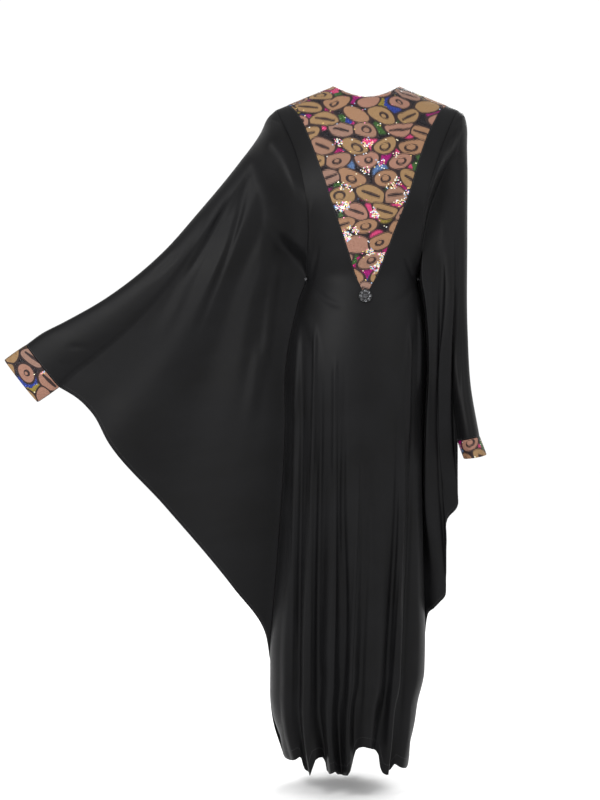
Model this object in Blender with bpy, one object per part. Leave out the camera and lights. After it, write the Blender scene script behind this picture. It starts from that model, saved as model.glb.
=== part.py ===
"""Black kaftan with butterfly sleeves, a V-shaped sequin yoke and sequin cuffs, worn open and hollow.

Metres, +Z up, the front faces -Y and the wearer's left is +X. The origin lies between the two neck
points, at shoulder height. The outer skin of the whole garment is worked out first, panel by panel
on shared seam points. Each panel is then cut from that skin and given its own wall, so that seams
keep an even gap.
"""

import math
from collections import namedtuple

import bmesh
import bpy
import numpy as np
from mathutils import Matrix, Vector
from mathutils.bvhtree import BVHTree

# Cloth
WALL = 0.002
SEAM_GAP = 0.0003
MITER_LIMIT = 1.4
SHARPEST_TURN = 0.4
SHARP_ANGLE = math.radians(40)
SAME_POINT = 1e-6

# Neck and shoulders
NECK_HALF_WIDTH = 0.072
NECK_POINT_Z = 0.005
NECK_FRONT_DEPTH = 0.065
NECK_FRONT_DROP = 0.033
NECK_BACK_DEPTH = 0.055
NECK_BACK_DROP = 0.009
NECK_COLUMNS = 10
YOKE_SHOULDER_COLUMNS = 4

# Heights of the two lower ends of the wings, on the side seams
RIGHT_WING_END_Z = -1.212
LEFT_WING_END_Z = -1.157

# Half the space between the front and back edges where a wing is sewn into the side seam
PINCH = 0.0028

# Torso sections from the shoulder down to the point of the V. Edges are the armholes, and yoke_right
# and yoke_left are the two sides of the V.
TorsoRow = namedtuple(
    "TorsoRow", "z centre half_width front back edge_right edge_left yoke_right yoke_left"
)
TORSO = [
    TorsoRow(-0.043, -0.002, 0.205, 0.118, 0.095, -0.191, 0.194, -0.166, 0.172),
    TorsoRow(-0.062, -0.002, 0.205, 0.118, 0.095, -0.184, 0.186, -0.152, 0.156),
    TorsoRow(-0.090, -0.002, 0.205, 0.118, 0.095, -0.173, 0.174, -0.137, 0.141),
    TorsoRow(-0.130, -0.002, 0.205, 0.118, 0.095, -0.157, 0.158, -0.121, 0.122),
    TorsoRow(-0.185, -0.002, 0.205, 0.118, 0.095, -0.140, 0.138, -0.100, 0.101),
    TorsoRow(-0.245, -0.002, 0.205, 0.118, 0.095, -0.128, 0.120, -0.077, 0.080),
    TorsoRow(-0.305, -0.005, 0.160, 0.113, 0.088, -0.124, 0.114, -0.0565, 0.0553),
    TorsoRow(-0.360, -0.008, 0.135, 0.103, 0.079, -0.127, 0.111, -0.038, 0.0345),
    TorsoRow(-0.404, -0.009, 0.119, 0.095, 0.075, -0.128, 0.110, -0.0245, 0.0165),
    TorsoRow(-0.445, -0.0125, 0.1295, 0.099, 0.082, -0.142, 0.117, -0.006, -0.006),
]
BUST_ROW = 5
WAIST_ROW = 8

# Skirt sections from below the point of the V to the hem
SkirtRow = namedtuple("SkirtRow", "z centre half_width front back")
SKIRT = [
    SkirtRow(-0.490, -0.0158, 0.1373, 0.106, 0.096),
    SkirtRow(-0.550, -0.0205, 0.1455, 0.112, 0.110),
    SkirtRow(-0.620, -0.0240, 0.1490, 0.114, 0.118),
    SkirtRow(-0.700, -0.0255, 0.1465, 0.112, 0.118),
    SkirtRow(-0.790, -0.0280, 0.1468, 0.111, 0.116),
    SkirtRow(-0.880, -0.0305, 0.1495, 0.112, 0.115),
    SkirtRow(-0.975, -0.0330, 0.1540, 0.114, 0.116),
    SkirtRow(-1.065, -0.0355, 0.1585, 0.116, 0.118),
    SkirtRow(-1.157, -0.0383, 0.1637, 0.118, 0.120),
    SkirtRow(-1.180, -0.0392, 0.1644, 0.118, 0.120),
    SkirtRow(-1.212, -0.0398, 0.1643, 0.119, 0.121),
    SkirtRow(-1.235, -0.0403, 0.1638, 0.120, 0.122),
    SkirtRow(-1.300, -0.0468, 0.1568, 0.121, 0.123),
    SkirtRow(-1.360, -0.0470, 0.1490, 0.122, 0.124),
    SkirtRow(-1.420, -0.0445, 0.1335, 0.123, 0.125),
]
KNEE_Z = -0.85
HEM_Z = SKIRT[-1].z

# Folds of the skirt. waist, knee and hem say where the fold's line lies across the section, from -1
# at the right side seam to 1 at the left one. relief is how far it stands out of the section at the
# hem, and start_z is the height where it begins.
Fold = namedtuple("Fold", "waist knee hem relief start_z")
FRONT_FOLDS = [
    Fold(-0.930, -0.89, -0.840, 0.006, -0.55),
    Fold(-0.860, -0.80, -0.745, 0.011, -0.50),
    Fold(-0.790, -0.70, -0.630, -0.009, -0.60),
    Fold(-0.680, -0.58, -0.500, 0.014, -0.50),
    Fold(-0.520, -0.44, -0.340, -0.014, -0.60),
    Fold(-0.300, -0.27, -0.200, 0.013, -0.57),
    Fold(-0.150, -0.155, -0.080, -0.012, -0.62),
    Fold(0.050, 0.08, 0.020, 0.011, -0.78),
    Fold(0.170, 0.15, 0.130, -0.010, -0.80),
    Fold(0.380, 0.36, 0.330, 0.008, -0.80),
    Fold(0.620, 0.57, 0.490, -0.013, -0.72),
    Fold(0.730, 0.66, 0.580, 0.013, -0.68),
    Fold(0.890, 0.80, 0.680, -0.013, -0.64),
    Fold(0.955, 0.915, 0.830, 0.009, -0.66),
]
V_POINT_FOLD = 7
BACK_FOLDS = [
    Fold(-0.900, -0.87, -0.84, 0.010, -0.62),
    Fold(-0.740, -0.70, -0.68, -0.011, -0.66),
    Fold(-0.560, -0.50, -0.47, 0.013, -0.64),
    Fold(-0.360, -0.31, -0.28, -0.012, -0.72),
    Fold(-0.150, -0.12, -0.10, 0.012, -0.70),
    Fold(0.060, 0.06, 0.09, -0.013, -0.74),
    Fold(0.280, 0.27, 0.25, 0.014, -0.68),
    Fold(0.500, 0.47, 0.43, -0.011, -0.72),
    Fold(0.680, 0.64, 0.60, 0.012, -0.66),
    Fold(0.830, 0.79, 0.76, -0.012, -0.68),
    Fold(0.950, 0.92, 0.89, 0.010, -0.62),
]

# The wings. An overarm row is a point of the top outline, at along from the shoulder (0) to the cuff
# (1). A lower row is a point of the sewn lower edge, at across from the side seam (0) to the cuff.
OverarmRow = namedtuple("OverarmRow", "along x y z")
LowerRow = namedtuple("LowerRow", "across x y z")
# A crease runs from the shoulder to the lower edge at across. front and back are its reliefs.
Crease = namedtuple("Crease", "across half_width front back start full")
# columns are the across values of the grid. arm_radius is the sleeve's round top, sleeve the reach
# of the arm below it, slack what is left of the space between the layers far below the arm.
Wing = namedtuple(
    "Wing",
    "overarm lower creases columns cuff_across cuff_half_depth cuff_run arm_radius sleeve slack"
    " armhole_spread spread spread_full arm_start closing_start side end_z",
)

RIGHT_WING = Wing(
    overarm=[
        OverarmRow(0.000, -0.1910, 0.0, -0.0430),
        OverarmRow(0.032, -0.2083, 0.0, -0.0595),
        OverarmRow(0.080, -0.2232, 0.0, -0.0914),
        OverarmRow(0.183, -0.2679, 0.0, -0.1531),
        OverarmRow(0.376, -0.3593, 0.0, -0.2636),
        OverarmRow(0.515, -0.4273, 0.0, -0.3402),
        OverarmRow(0.733, -0.5528, 0.0, -0.4422),
        OverarmRow(0.872, -0.6420, 0.0, -0.4932),
        OverarmRow(0.947, -0.6910, 0.0, -0.5187),
        OverarmRow(1.000, -0.7228, 0.0, -0.5421),
    ],
    lower=[
        LowerRow(0.000, -0.2041, 0.0, -1.2120),
        LowerRow(0.070, -0.2126, 0.0, -1.1480),
        LowerRow(0.197, -0.2764, -0.010, -1.0502),
        LowerRow(0.440, -0.4231, 0.008, -0.8802),
        LowerRow(0.633, -0.5443, -0.006, -0.7484),
        LowerRow(0.714, -0.5825, 0.0, -0.6866),
        LowerRow(0.761, -0.6144, 0.0, -0.6548),
        LowerRow(0.800, -0.6527, 0.0, -0.6314),
    ],
    creases=[
        Crease(0.20, 0.08, -0.006, 0.005, 0.15, 0.60),
        Crease(0.36, 0.09, 0.007, -0.006, 0.12, 0.60),
        Crease(0.50, 0.08, -0.007, 0.006, 0.10, 0.50),
        Crease(0.63, 0.08, 0.006, -0.005, 0.10, 0.50),
        Crease(0.76, 0.07, -0.006, 0.005, 0.12, 0.45),
    ],
    columns=[
        0.0, 0.035, 0.08, 0.14, 0.20, 0.28, 0.36, 0.43, 0.50, 0.57, 0.63, 0.70, 0.76, 0.80,
        0.835, 0.875, 0.915, 0.955, 0.98, 1.0,
    ],
    cuff_across=0.80,
    cuff_half_depth=0.017,
    cuff_run=Vector((-0.0456, 0.0, -0.0317)),
    arm_radius=0.040,
    sleeve=0.10,
    slack=0.30,
    armhole_spread=0.10,
    spread=0.10,
    spread_full=0.5,
    arm_start=0.15,
    closing_start=0.10,
    side=-1,
    end_z=RIGHT_WING_END_Z,
)
LEFT_WING = Wing(
    overarm=[
        OverarmRow(0.000, 0.1940, 0.0, -0.0430),
        OverarmRow(0.025, 0.2080, 0.0, -0.0540),
        OverarmRow(0.050, 0.2130, 0.0, -0.0700),
        OverarmRow(0.122, 0.2150, 0.0, -0.1210),
        OverarmRow(0.378, 0.2150, -0.004, -0.3000),
        OverarmRow(0.686, 0.2150, -0.012, -0.5166),
        OverarmRow(0.849, 0.2210, -0.018, -0.6310),
        OverarmRow(1.000, 0.2380, -0.024, -0.7356),
    ],
    lower=[
        LowerRow(0.000, 0.1254, 0.0, -1.1570),
        LowerRow(0.070, 0.1310, -0.004, -1.1150),
        LowerRow(0.200, 0.1430, -0.020, -1.0850),
        LowerRow(0.370, 0.1600, -0.008, -1.0550),
        LowerRow(0.450, 0.1660, -0.013, -0.9700),
        LowerRow(0.540, 0.1740, -0.024, -0.9000),
        LowerRow(0.620, 0.1850, -0.020, -0.8650),
        LowerRow(0.680, 0.1850, -0.020, -0.8050),
        LowerRow(0.740, 0.1900, -0.024, -0.7480),
    ],
    creases=[
        Crease(0.17, 0.13, 0.028, 0.010, 0.24, 0.60),
        Crease(0.37, 0.09, -0.010, -0.008, 0.24, 0.60),
        Crease(0.55, 0.12, 0.026, 0.018, 0.20, 0.60),
        Crease(0.75, 0.08, -0.009, -0.008, 0.24, 0.60),
    ],
    columns=[
        0.0, 0.035, 0.075, 0.12, 0.17, 0.23, 0.30, 0.37, 0.43, 0.49, 0.55, 0.62, 0.68, 0.74,
        0.79, 0.84, 0.89, 0.93, 0.965, 1.0,
    ],
    cuff_across=0.74,
    cuff_half_depth=0.044,
    cuff_run=Vector((0.0140, -0.016, -0.0440)),
    arm_radius=0.043,
    sleeve=0.30,
    slack=0.60,
    armhole_spread=0.060,
    spread=0.016,
    spread_full=0.40,
    arm_start=0.15,
    closing_start=0.45,
    side=1,
    end_z=LEFT_WING_END_Z,
)
CUFF_RINGS = 3
# How late, from the shoulder down, a wing takes over the bends of its lower edge, in the outline and
# in depth
OUTLINE_EASE = 1.2
SWAY_EASE = 2.5
# Share of the spread beside the seam in which a wing keeps the seam's depth
LEAVE_START = 0.2
STEEPEST = 0.35
NO_AREA = 1e-12
# How far the wall at the notch under a cuff turns to the front or back
CORNER_TURN = 0.6

# Stones
BROOCH_RADIUS = 0.014
BROOCH_THICKNESS = 0.003
BROOCH_RING_RADIUS = 0.0098
BROOCH_RING_STONES = 8
BROOCH_STONE_RADIUS = 0.0032
BROOCH_CENTRE_RADIUS = 0.0055
STONE_SIDES = 8
STONE_HEIGHT = 0.55
CROWN_TAPER = 0.58
SETTING_SIDES = 20
SETTING_TAPER = 0.94
WAIST_SETTING_RADIUS = 0.0055
WAIST_SETTING_THICKNESS = 0.002
WAIST_STONE_RADIUS = 0.0040
WAIST_STONE_ANGLE = math.radians(14)
SEAT_RAYS = 16
SEAT_REACH = 0.005

# Finishes: base colour, roughness, metallic
BLACK_JERSEY = ((0.018, 0.018, 0.021), 0.62, 0.0)
SEQUIN_CLOTH = ((0.42, 0.22, 0.15), 0.35, 0.3)
CLEAR_STONE = ((0.80, 0.82, 0.85), 0.08, 0.0)
DARK_STONE = ((0.03, 0.03, 0.035), 0.10, 0.0)
SILVER_SETTING = ((0.55, 0.55, 0.56), 0.25, 1.0)


def smooth_curve(knots, values, at):
    """A smooth curve through values at knots, read at the places at."""
    knots = np.asarray(knots, float)
    values = np.asarray(values, float)
    at = np.asarray(at, float)
    slopes = np.gradient(values, knots, axis=0)
    i = np.clip(np.searchsorted(knots, at, side="right") - 1, 0, len(knots) - 2)
    step = knots[i + 1] - knots[i]
    t = ((at - knots[i]) / step)[:, None]
    step = step[:, None]
    start = (1 + 2 * t) * (1 - t) ** 2 * values[i] + t * (1 - t) ** 2 * step * slopes[i]
    end = t**2 * (3 - 2 * t) * values[i + 1] + t**2 * (t - 1) * step * slopes[i + 1]
    return start + end


def ease(value):
    """0 below 0, 1 above 1, and an even rise between them."""
    t = np.clip(value, 0.0, 1.0)
    return t * t * (3 - 2 * t)


def rows_of_body():
    """All section rows, the shoulder first."""
    return TORSO + SKIRT


def edges_of(row):
    """The x of the right and left edge of the front and back at a row."""
    if isinstance(row, TorsoRow):
        return row.edge_right, row.edge_left
    return row.centre - row.half_width, row.centre + row.half_width


def depth_of(row, side):
    """How far the front (-1) or back (1) stands out at the middle of a row."""
    return row.front if side < 0 else row.back


def top_edge(x, side):
    """y and z of the shoulder seam and neckline at x, on the front (-1) or the back (1)."""
    tip = TORSO[0].edge_left if x > 0 else -TORSO[0].edge_right
    if abs(x) >= NECK_HALF_WIDTH - SAME_POINT:
        share = (abs(x) - NECK_HALF_WIDTH) / (tip - NECK_HALF_WIDTH)
        return 0.0, NECK_POINT_Z + (TORSO[0].z - NECK_POINT_Z) * share
    depth = NECK_FRONT_DEPTH if side < 0 else NECK_BACK_DEPTH
    drop = NECK_FRONT_DROP if side < 0 else NECK_BACK_DROP
    inward = 1 - (x / NECK_HALF_WIDTH) ** 2
    return side * depth * math.sqrt(inward), NECK_POINT_Z - drop * inward


def torso_point(index, x, side):
    """A point of the front or back at x on a torso row, rounded over the shoulder above the bust."""
    row = TORSO[index]
    across = min(1.0, abs((x - row.centre) / row.half_width))
    y = side * depth_of(row, side) * math.sqrt(1 - across * across)
    if index > BUST_ROW:
        return x, y, row.z
    top_y, top_z = top_edge(x, side)
    bust_z = TORSO[BUST_ROW].z
    climb = (row.z - bust_z) / (TORSO[0].z - bust_z)
    level = math.sqrt(max(0.0, 1 - climb * climb))
    return x, top_y + (y - top_y) * level, bust_z + (top_z - bust_z) * climb


def fold_place(fold, z):
    """Where a fold's line crosses the section at height z."""
    heights = [-HEM_Z, -KNEE_Z, -TORSO[-1].z]
    places = [fold.hem, fold.knee, fold.waist]
    return float(np.interp(-z, heights[::-1], places[::-1]))


def fold_relief(fold, z):
    """How far a fold stands out at height z."""
    return fold.relief * float(np.clip((fold.start_z - z) / (fold.start_z - HEM_Z), 0, 1))


def pinch_at(z, side_seam):
    """Half the space between the front and back edge at height z, on the right (-1) or left (1)."""
    end = RIGHT_WING_END_Z if side_seam < 0 else LEFT_WING_END_Z
    return PINCH if z > end - SAME_POINT else 0.0


def section_columns(row, folds, side):
    """Angles and reliefs across a skirt section: the side seams, each fold's line, and the middles."""
    depth = depth_of(row, side)
    angles = [math.asin(pinch_at(row.z, -1) / depth)]
    reliefs = [0.0]
    for fold in folds:
        angles.append(math.acos(-fold_place(fold, row.z)))
        reliefs.append(fold_relief(fold, row.z))
    angles.append(math.pi - math.asin(pinch_at(row.z, 1) / depth))
    reliefs.append(0.0)
    lines = np.arange(len(angles))
    halves = np.arange(0, len(angles) - 0.5, 0.5)
    return np.interp(halves, lines, angles), np.interp(halves, lines, reliefs)


def section_points(row, folds, side):
    """The points across a skirt section, with its folds."""
    points = []
    for angle, relief in zip(*section_columns(row, folds, side)):
        depth = side * depth_of(row, side)
        out = Vector((-math.cos(angle) / row.half_width, math.sin(angle) / depth)).normalized()
        x = row.centre - row.half_width * math.cos(angle)
        y = depth * math.sin(angle)
        points.append((x + out.x * relief, y + out.y * relief, row.z))
    return points


def waist_shares(folds):
    """How the columns of a section share its width at the waist, from 0 to 1."""
    places = np.array([-1.0] + [fold.waist for fold in folds] + [1.0])
    lines = np.arange(len(places))
    halves = np.arange(0, len(places) - 0.5, 0.5)
    return (np.interp(halves, lines, places) + 1) / 2


def edge_point(index, side, side_seam):
    """The point where the front or back ends at a side, on the armhole or the side seam."""
    row = rows_of_body()[index]
    x = edges_of(row)[0 if side_seam < 0 else 1]
    if index == 0:
        return x, 0.0, row.z
    if index < WAIST_ROW:
        return torso_point(index, x, side)
    folds = FRONT_FOLDS if side < 0 else BACK_FOLDS
    return section_points(row, folds, side)[0 if side_seam < 0 else -1]


def neckline_columns(shoulder_columns, right_end, left_end):
    """The x of the columns along a top edge: two shoulder runs and the arc of the neck between."""
    right = np.linspace(right_end, -NECK_HALF_WIDTH, shoulder_columns + 1)[:-1]
    arc = -NECK_HALF_WIDTH * np.cos(np.linspace(0, math.pi, NECK_COLUMNS + 1))
    left = np.linspace(NECK_HALF_WIDTH, left_end, shoulder_columns + 1)[1:]
    return np.concatenate([right, arc, left])


def front_rows():
    """Three grids of the black front: its two strips beside the yoke, and the rest below the V."""
    shares = waist_shares(FRONT_FOLDS)
    middle = 2 * (V_POINT_FOLD + 1)
    right_waist = shares[: middle + 1] / shares[middle]
    left_waist = (shares[middle:] - shares[middle]) / (1 - shares[middle])
    right_strip = []
    left_strip = []
    for index, row in enumerate(TORSO[:-1]):
        settle = float(ease(index / WAIST_ROW))
        right_shares = np.linspace(0, 1, len(right_waist)) * (1 - settle) + right_waist * settle
        left_shares = np.linspace(0, 1, len(left_waist)) * (1 - settle) + left_waist * settle
        right_x = row.edge_right + (row.yoke_right - row.edge_right) * right_shares
        left_x = row.yoke_left + (row.edge_left - row.yoke_left) * left_shares
        right = [torso_point(index, x, -1) for x in right_x]
        left = [torso_point(index, x, -1) for x in left_x]
        if index in (0, WAIST_ROW):
            right[0] = edge_point(index, -1, -1)
            left[-1] = edge_point(index, -1, 1)
        right_strip.append(right)
        left_strip.append(left)
    below = [section_points(row, FRONT_FOLDS, -1) for row in [TORSO[-1]] + SKIRT]
    right_strip.append(below[0][: middle + 1])
    left_strip.append(below[0][middle:])
    return right_strip, left_strip, below


def yoke_rows(v_point):
    """The grid of the yoke, from the shoulders to the point of the V."""
    top = TORSO[0]
    top_x = neckline_columns(YOKE_SHOULDER_COLUMNS, top.yoke_right, top.yoke_left)
    shares = (top_x - top.yoke_right) / (top.yoke_left - top.yoke_right)
    rows = []
    for index, row in enumerate(TORSO[:-1]):
        across = row.yoke_right + (row.yoke_left - row.yoke_right) * shares
        rows.append([torso_point(index, x, -1) for x in across])
    rows.append([v_point] * len(shares))
    return rows


def back_rows():
    """The grid of the back, from the shoulders to the hem."""
    top = TORSO[0]
    waist = waist_shares(BACK_FOLDS)
    shoulder_columns = (len(waist) - 1 - NECK_COLUMNS) // 2
    top_x = neckline_columns(shoulder_columns, top.edge_right, top.edge_left)
    top_shares = (top_x - top.edge_right) / (top.edge_left - top.edge_right)
    rows = []
    for index, row in enumerate(TORSO[:-1]):
        shares = top_shares + (waist - top_shares) * float(ease(index / WAIST_ROW))
        across = row.edge_right + (row.edge_left - row.edge_right) * shares
        points = [torso_point(index, x, 1) for x in across]
        points[0] = edge_point(index, 1, -1)
        points[-1] = edge_point(index, 1, 1)
        rows.append(points)
    return rows + [section_points(row, BACK_FOLDS, 1) for row in [TORSO[-1]] + SKIRT]


def distance_to(points, line):
    """The distance of each point of a grid to a line of straight runs, seen from the front."""
    start = line[:-1][:, [0, 2]]
    run = line[1:][:, [0, 2]] - start
    offsets = points[:, :, None, :][..., [0, 2]] - start
    share = np.clip((offsets * run).sum(axis=-1) / (run**2).sum(axis=-1), 0, 1)
    return np.linalg.norm(offsets - share[..., None] * run, axis=-1).min(axis=-1)


def wing_boundary(wing, across):
    """The lower boundary of a wing: its sewn lower edge, then the cuff seam."""
    lower = np.array([row[1:] for row in wing.lower])
    knots = [row.across for row in wing.lower]
    end = np.array(wing.overarm[-1][1:])
    share = np.clip((across - wing.cuff_across) / (1 - wing.cuff_across), 0, 1)[:, None]
    sewn = smooth_curve(knots, lower, np.minimum(across, wing.cuff_across))
    return sewn * (1 - share) + end * share


def wing_middle(wing, inner, down):
    """The surface midway between a wing's layers, from its side seam (inner) out to the overarm."""
    across = np.array(wing.columns)
    knots = [row.along for row in wing.overarm]
    outer = smooth_curve(knots, [row[1:] for row in wing.overarm], down)
    c = across[None, :, None]
    r = down[:, None, None]
    middle = inner[:, None] * (1 - c) + outer[:, None] * c
    straight_end = inner[-1] * (1 - across[:, None]) + outer[-1] * across[:, None]
    bend = (wing_boundary(wing, across) - straight_end)[None]
    middle[..., [0, 2]] += (bend * r**OUTLINE_EASE)[..., [0, 2]]
    middle[..., 1] += (bend * r**SWAY_EASE)[..., 1]
    return middle, outer


def least_depth(middle):
    """The smallest depth of a layer at each point, more where the middle surface is seen edge on."""
    normal = np.cross(np.gradient(middle, axis=0), np.gradient(middle, axis=1))
    normal[np.linalg.norm(normal, axis=-1) < NO_AREA] = (0, -1, 0)
    normal /= np.linalg.norm(normal, axis=-1, keepdims=True)
    least = PINCH / np.clip(np.abs(normal[..., 1]), STEEPEST, 1)
    least[:, -1] = 0.0
    return least


def crease_relief(wing, down, side):
    """How far the creases move a layer out at each point of a wing's grid."""
    across = np.array(wing.columns)
    relief = np.zeros((len(down), len(across)))
    for crease in wing.creases:
        off = np.clip((across - crease.across) / crease.half_width, -1, 1)
        bump = np.cos(off * math.pi / 2) ** 2
        growth = ease((down - crease.start) / (crease.full - crease.start))
        relief += (crease.front if side < 0 else crease.back) * growth[:, None] * bump[None, :]
    return relief


def wing_layers(wing):
    """The front and back layer of a wing, each a grid of rows from the shoulder to the lower edge."""
    rows = [i for i, row in enumerate(rows_of_body()) if row.z > wing.end_z - SAME_POINT]
    heights = np.array([rows_of_body()[i].z for i in rows])
    down = (heights[0] - heights) / (heights[0] - wing.end_z)
    fall = down[:, None]
    across = np.array(wing.columns)
    seam = {side: np.array([edge_point(i, side, wing.side) for i in rows]) for side in (-1, 1)}
    inner = (seam[-1] + seam[1]) / 2
    inner[:, 1] = 0.0
    middle, outer = wing_middle(wing, inner, down)

    from_arm = distance_to(middle, outer)
    from_seam = distance_to(middle, inner)
    cap = np.minimum(wing.arm_radius, np.maximum(from_arm[:, :1], SAME_POINT))
    rounded = np.sqrt(1 - (1 - np.clip(from_arm / cap, 0, 1)) ** 2)
    below_arm = np.clip((from_arm - wing.sleeve) / wing.sleeve, 0, None)
    closing = wing.slack + (1 - wing.slack) * np.exp(-(below_arm**2))
    fade = ease((fall - wing.closing_start) / (1 - wing.closing_start))
    widening = ease(fall / wing.spread_full)
    spread = wing.armhole_spread + (wing.spread - wing.armhole_spread) * widening
    leave = ease((from_seam / spread - LEAVE_START) / (1 - LEAVE_START))

    share = np.clip((across - wing.cuff_across) / (1 - wing.cuff_across), 0, 1)
    cuff = wing.cuff_half_depth * np.sqrt(np.clip(1 - (2 * share - 1) ** 2, 0, 1))
    end_depth = np.where(across < 1, np.maximum(cuff, PINCH), 0.0)[None, :]
    least = least_depth(middle)
    layers = {}
    for side in (-1, 1):
        edge = np.abs(seam[side][:, 1])[:, None]
        arm = edge + (wing.arm_radius - edge) * ease(fall / wing.arm_start)
        depth = arm * rounded * closing * (1 - fade) + end_depth * fade
        creased = depth + crease_relief(wing, down, side) * rounded * (1 - fade)
        free = np.maximum(creased, least)
        grid = middle.copy()
        grid[..., 1] += side * (edge * (1 - leave) * rounded + free * leave)
        grid[:, 0] = seam[side]
        grid[:, -1] = outer
        grid[0] = seam[side][0]
        layers[side] = grid
    return layers


class Skin:
    """The outer skin of the garment. The material index of a face is the number of its panel."""

    def __init__(self):
        self.mesh = bmesh.new()
        self.known = {}
        self.set_normals = {}

    def vertex(self, point):
        """The vertex at a point, made when it is new."""
        key = tuple(round(value / SAME_POINT) for value in point)
        if key not in self.known:
            self.known[key] = self.mesh.verts.new(point)
        return self.known[key]

    def face(self, points, panel):
        """One face, without the corners that fall together."""
        corners = []
        for point in points:
            vertex = self.vertex(point)
            if vertex not in corners:
                corners.append(vertex)
        if len(corners) > 2:
            self.mesh.faces.new(corners).material_index = panel

    def grid(self, rows, panel):
        """Faces between neighbouring rows and columns of points."""
        for upper, lower in zip(rows, rows[1:]):
            for i in range(len(upper) - 1):
                self.face([upper[i], upper[i + 1], lower[i + 1], lower[i]], panel)

    def hold_normal(self, point, normal):
        """Sets the direction in which the wall gets its thickness at a point."""
        self.set_normals[self.vertex(point)] = Vector(normal).normalized()

    def finish(self):
        """Splits all faces into triangles and turns them outwards."""
        bmesh.ops.triangulate(self.mesh, faces=self.mesh.faces[:], quad_method="SHORT_EDGE")
        bmesh.ops.recalc_face_normals(self.mesh, faces=self.mesh.faces[:])
        self.mesh.verts.index_update()
        self.mesh.faces.index_update()
        self.mesh.normal_update()

    def wall_direction(self, vertex):
        """The direction and length of the wall at a vertex, full at corners too."""
        if vertex in self.set_normals:
            return self.set_normals[vertex] * WALL
        return vertex.normal * WALL * min(MITER_LIMIT, vertex.calc_shell_factor())


def pull_back(vertex, faces):
    """Moves a vertex on a panel's edge into the panel, by half the seam gap."""
    inward = []
    for edge in vertex.link_edges:
        inside = [face for face in edge.link_faces if face in faces]
        if len(inside) != 1:
            continue
        across = inside[0].normal.cross(edge.verts[1].co - edge.verts[0].co).normalized()
        middle = (edge.verts[0].co + edge.verts[1].co) / 2
        if across.dot(inside[0].calc_center_median() - middle) < 0:
            across.negate()
        inward.append(across)
    if not inward:
        return Vector((0, 0, 0))
    total = sum(inward, Vector((0, 0, 0)))
    sharpness = 1 + inward[0].dot(inward[-1])
    return total * (SEAM_GAP / 2) / (max(SHARPEST_TURN, sharpness) if len(inward) > 1 else 1)


def cut_panel(skin, panel):
    """One panel of the skin as a closed mesh: outer and inner face of the cloth, and its edges."""
    faces = {face for face in skin.mesh.faces if face.material_index == panel}
    corners = {vertex for face in faces for vertex in face.verts}
    solid = bmesh.new()
    outer = {}
    inner = {}
    for vertex in sorted(corners, key=lambda corner: corner.index):
        place = vertex.co + pull_back(vertex, faces)
        outer[vertex] = solid.verts.new(place)
        inner[vertex] = solid.verts.new(place - skin.wall_direction(vertex))
    for face in sorted(faces, key=lambda item: item.index):
        solid.faces.new([outer[vertex] for vertex in face.verts])
        solid.faces.new([inner[vertex] for vertex in reversed(face.verts)])
        for loop in face.loops:
            if sum(other in faces for other in loop.edge.link_faces) == 1:
                start = loop.vert
                end = loop.link_loop_next.vert
                solid.faces.new([outer[end], outer[start], inner[start], inner[end]])
    bmesh.ops.triangulate(solid, faces=solid.faces[:])
    solid.normal_update()
    return solid


def finish_material(name, finish):
    """A Principled material of one colour, roughness and metallic value."""
    colour, roughness, metallic = finish
    material = bpy.data.materials.new(name)
    material.use_nodes = True
    shader = material.node_tree.nodes["Principled BSDF"]
    shader.inputs["Base Color"].default_value = (*colour, 1.0)
    shader.inputs["Roughness"].default_value = roughness
    shader.inputs["Metallic"].default_value = metallic
    return material


def add_object(name, solid, finish, collection):
    """Puts a finished bmesh into the collection as a named object."""
    mesh = bpy.data.meshes.new(name)
    solid.to_mesh(mesh)
    solid.free()
    mesh.shade_smooth()
    mesh.set_sharp_from_angle(angle=SHARP_ANGLE)
    mesh.materials.append(finish_material(name, finish))
    part = bpy.data.objects.new(name, mesh)
    collection.objects.link(part)
    return part


def cuff_rings(wing, layers):
    """The rings of a cuff, from the sleeve's seam to its open end."""
    first = wing.columns.index(wing.cuff_across)
    front = [Vector(point) for point in layers[-1][-1][first:]]
    back = [Vector(point) for point in layers[1][-1][first:-1]]
    seam_ring = front + back[::-1]
    rings = []
    for step in range(CUFF_RINGS + 1):
        move = wing.cuff_run * (step / CUFF_RINGS)
        rings.append([point + move for point in seam_ring])
    return rings


def add_wing(skin, wing, layers, wing_panel, cuff_panel):
    """Adds a wing and its cuff to the skin."""
    skin.grid([[tuple(p) for p in row] for row in layers[-1]], wing_panel)
    skin.grid([[tuple(p) for p in row] for row in layers[1]], wing_panel)
    front = layers[-1][-1]
    back = layers[1][-1]
    for i in range(wing.columns.index(wing.cuff_across)):
        skin.face([tuple(front[i]), tuple(front[i + 1]), tuple(back[i + 1]), tuple(back[i])], wing_panel)
    rings = [[tuple(point) for point in ring + ring[:1]] for ring in cuff_rings(wing, layers)]
    skin.grid(rings, cuff_panel)


def hold_cuff_corner(skin, wing, layers):
    """Turns the wall at the notch between the lower edge and the cuff straight into the sleeve."""
    corner = wing.columns.index(wing.cuff_across)
    for side in (-1, 1):
        end = layers[side][-1]
        along_edge = Vector(end[corner - 1] - end[corner]).normalized()
        notch = (along_edge + wing.cuff_run.normalized()).normalized()
        outward = notch + Vector((0, side, 0)) * CORNER_TURN
        skin.hold_normal(tuple(end[corner]), outward)


def hold_shoulder_seams(skin, rows):
    """Gives both sides of each straight shoulder seam the same wall direction."""
    for grid in rows:
        for x, y, z in grid[0]:
            if abs(x) >= NECK_HALF_WIDTH - SAME_POINT:
                tip = TORSO[0].edge_left if x > 0 else TORSO[0].edge_right
                run = Vector((tip - math.copysign(NECK_HALF_WIDTH, x), 0, TORSO[0].z - NECK_POINT_Z))
                skin.hold_normal((x, y, z), (-run.z * math.copysign(1, x), 0, abs(run.x)))


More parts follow.
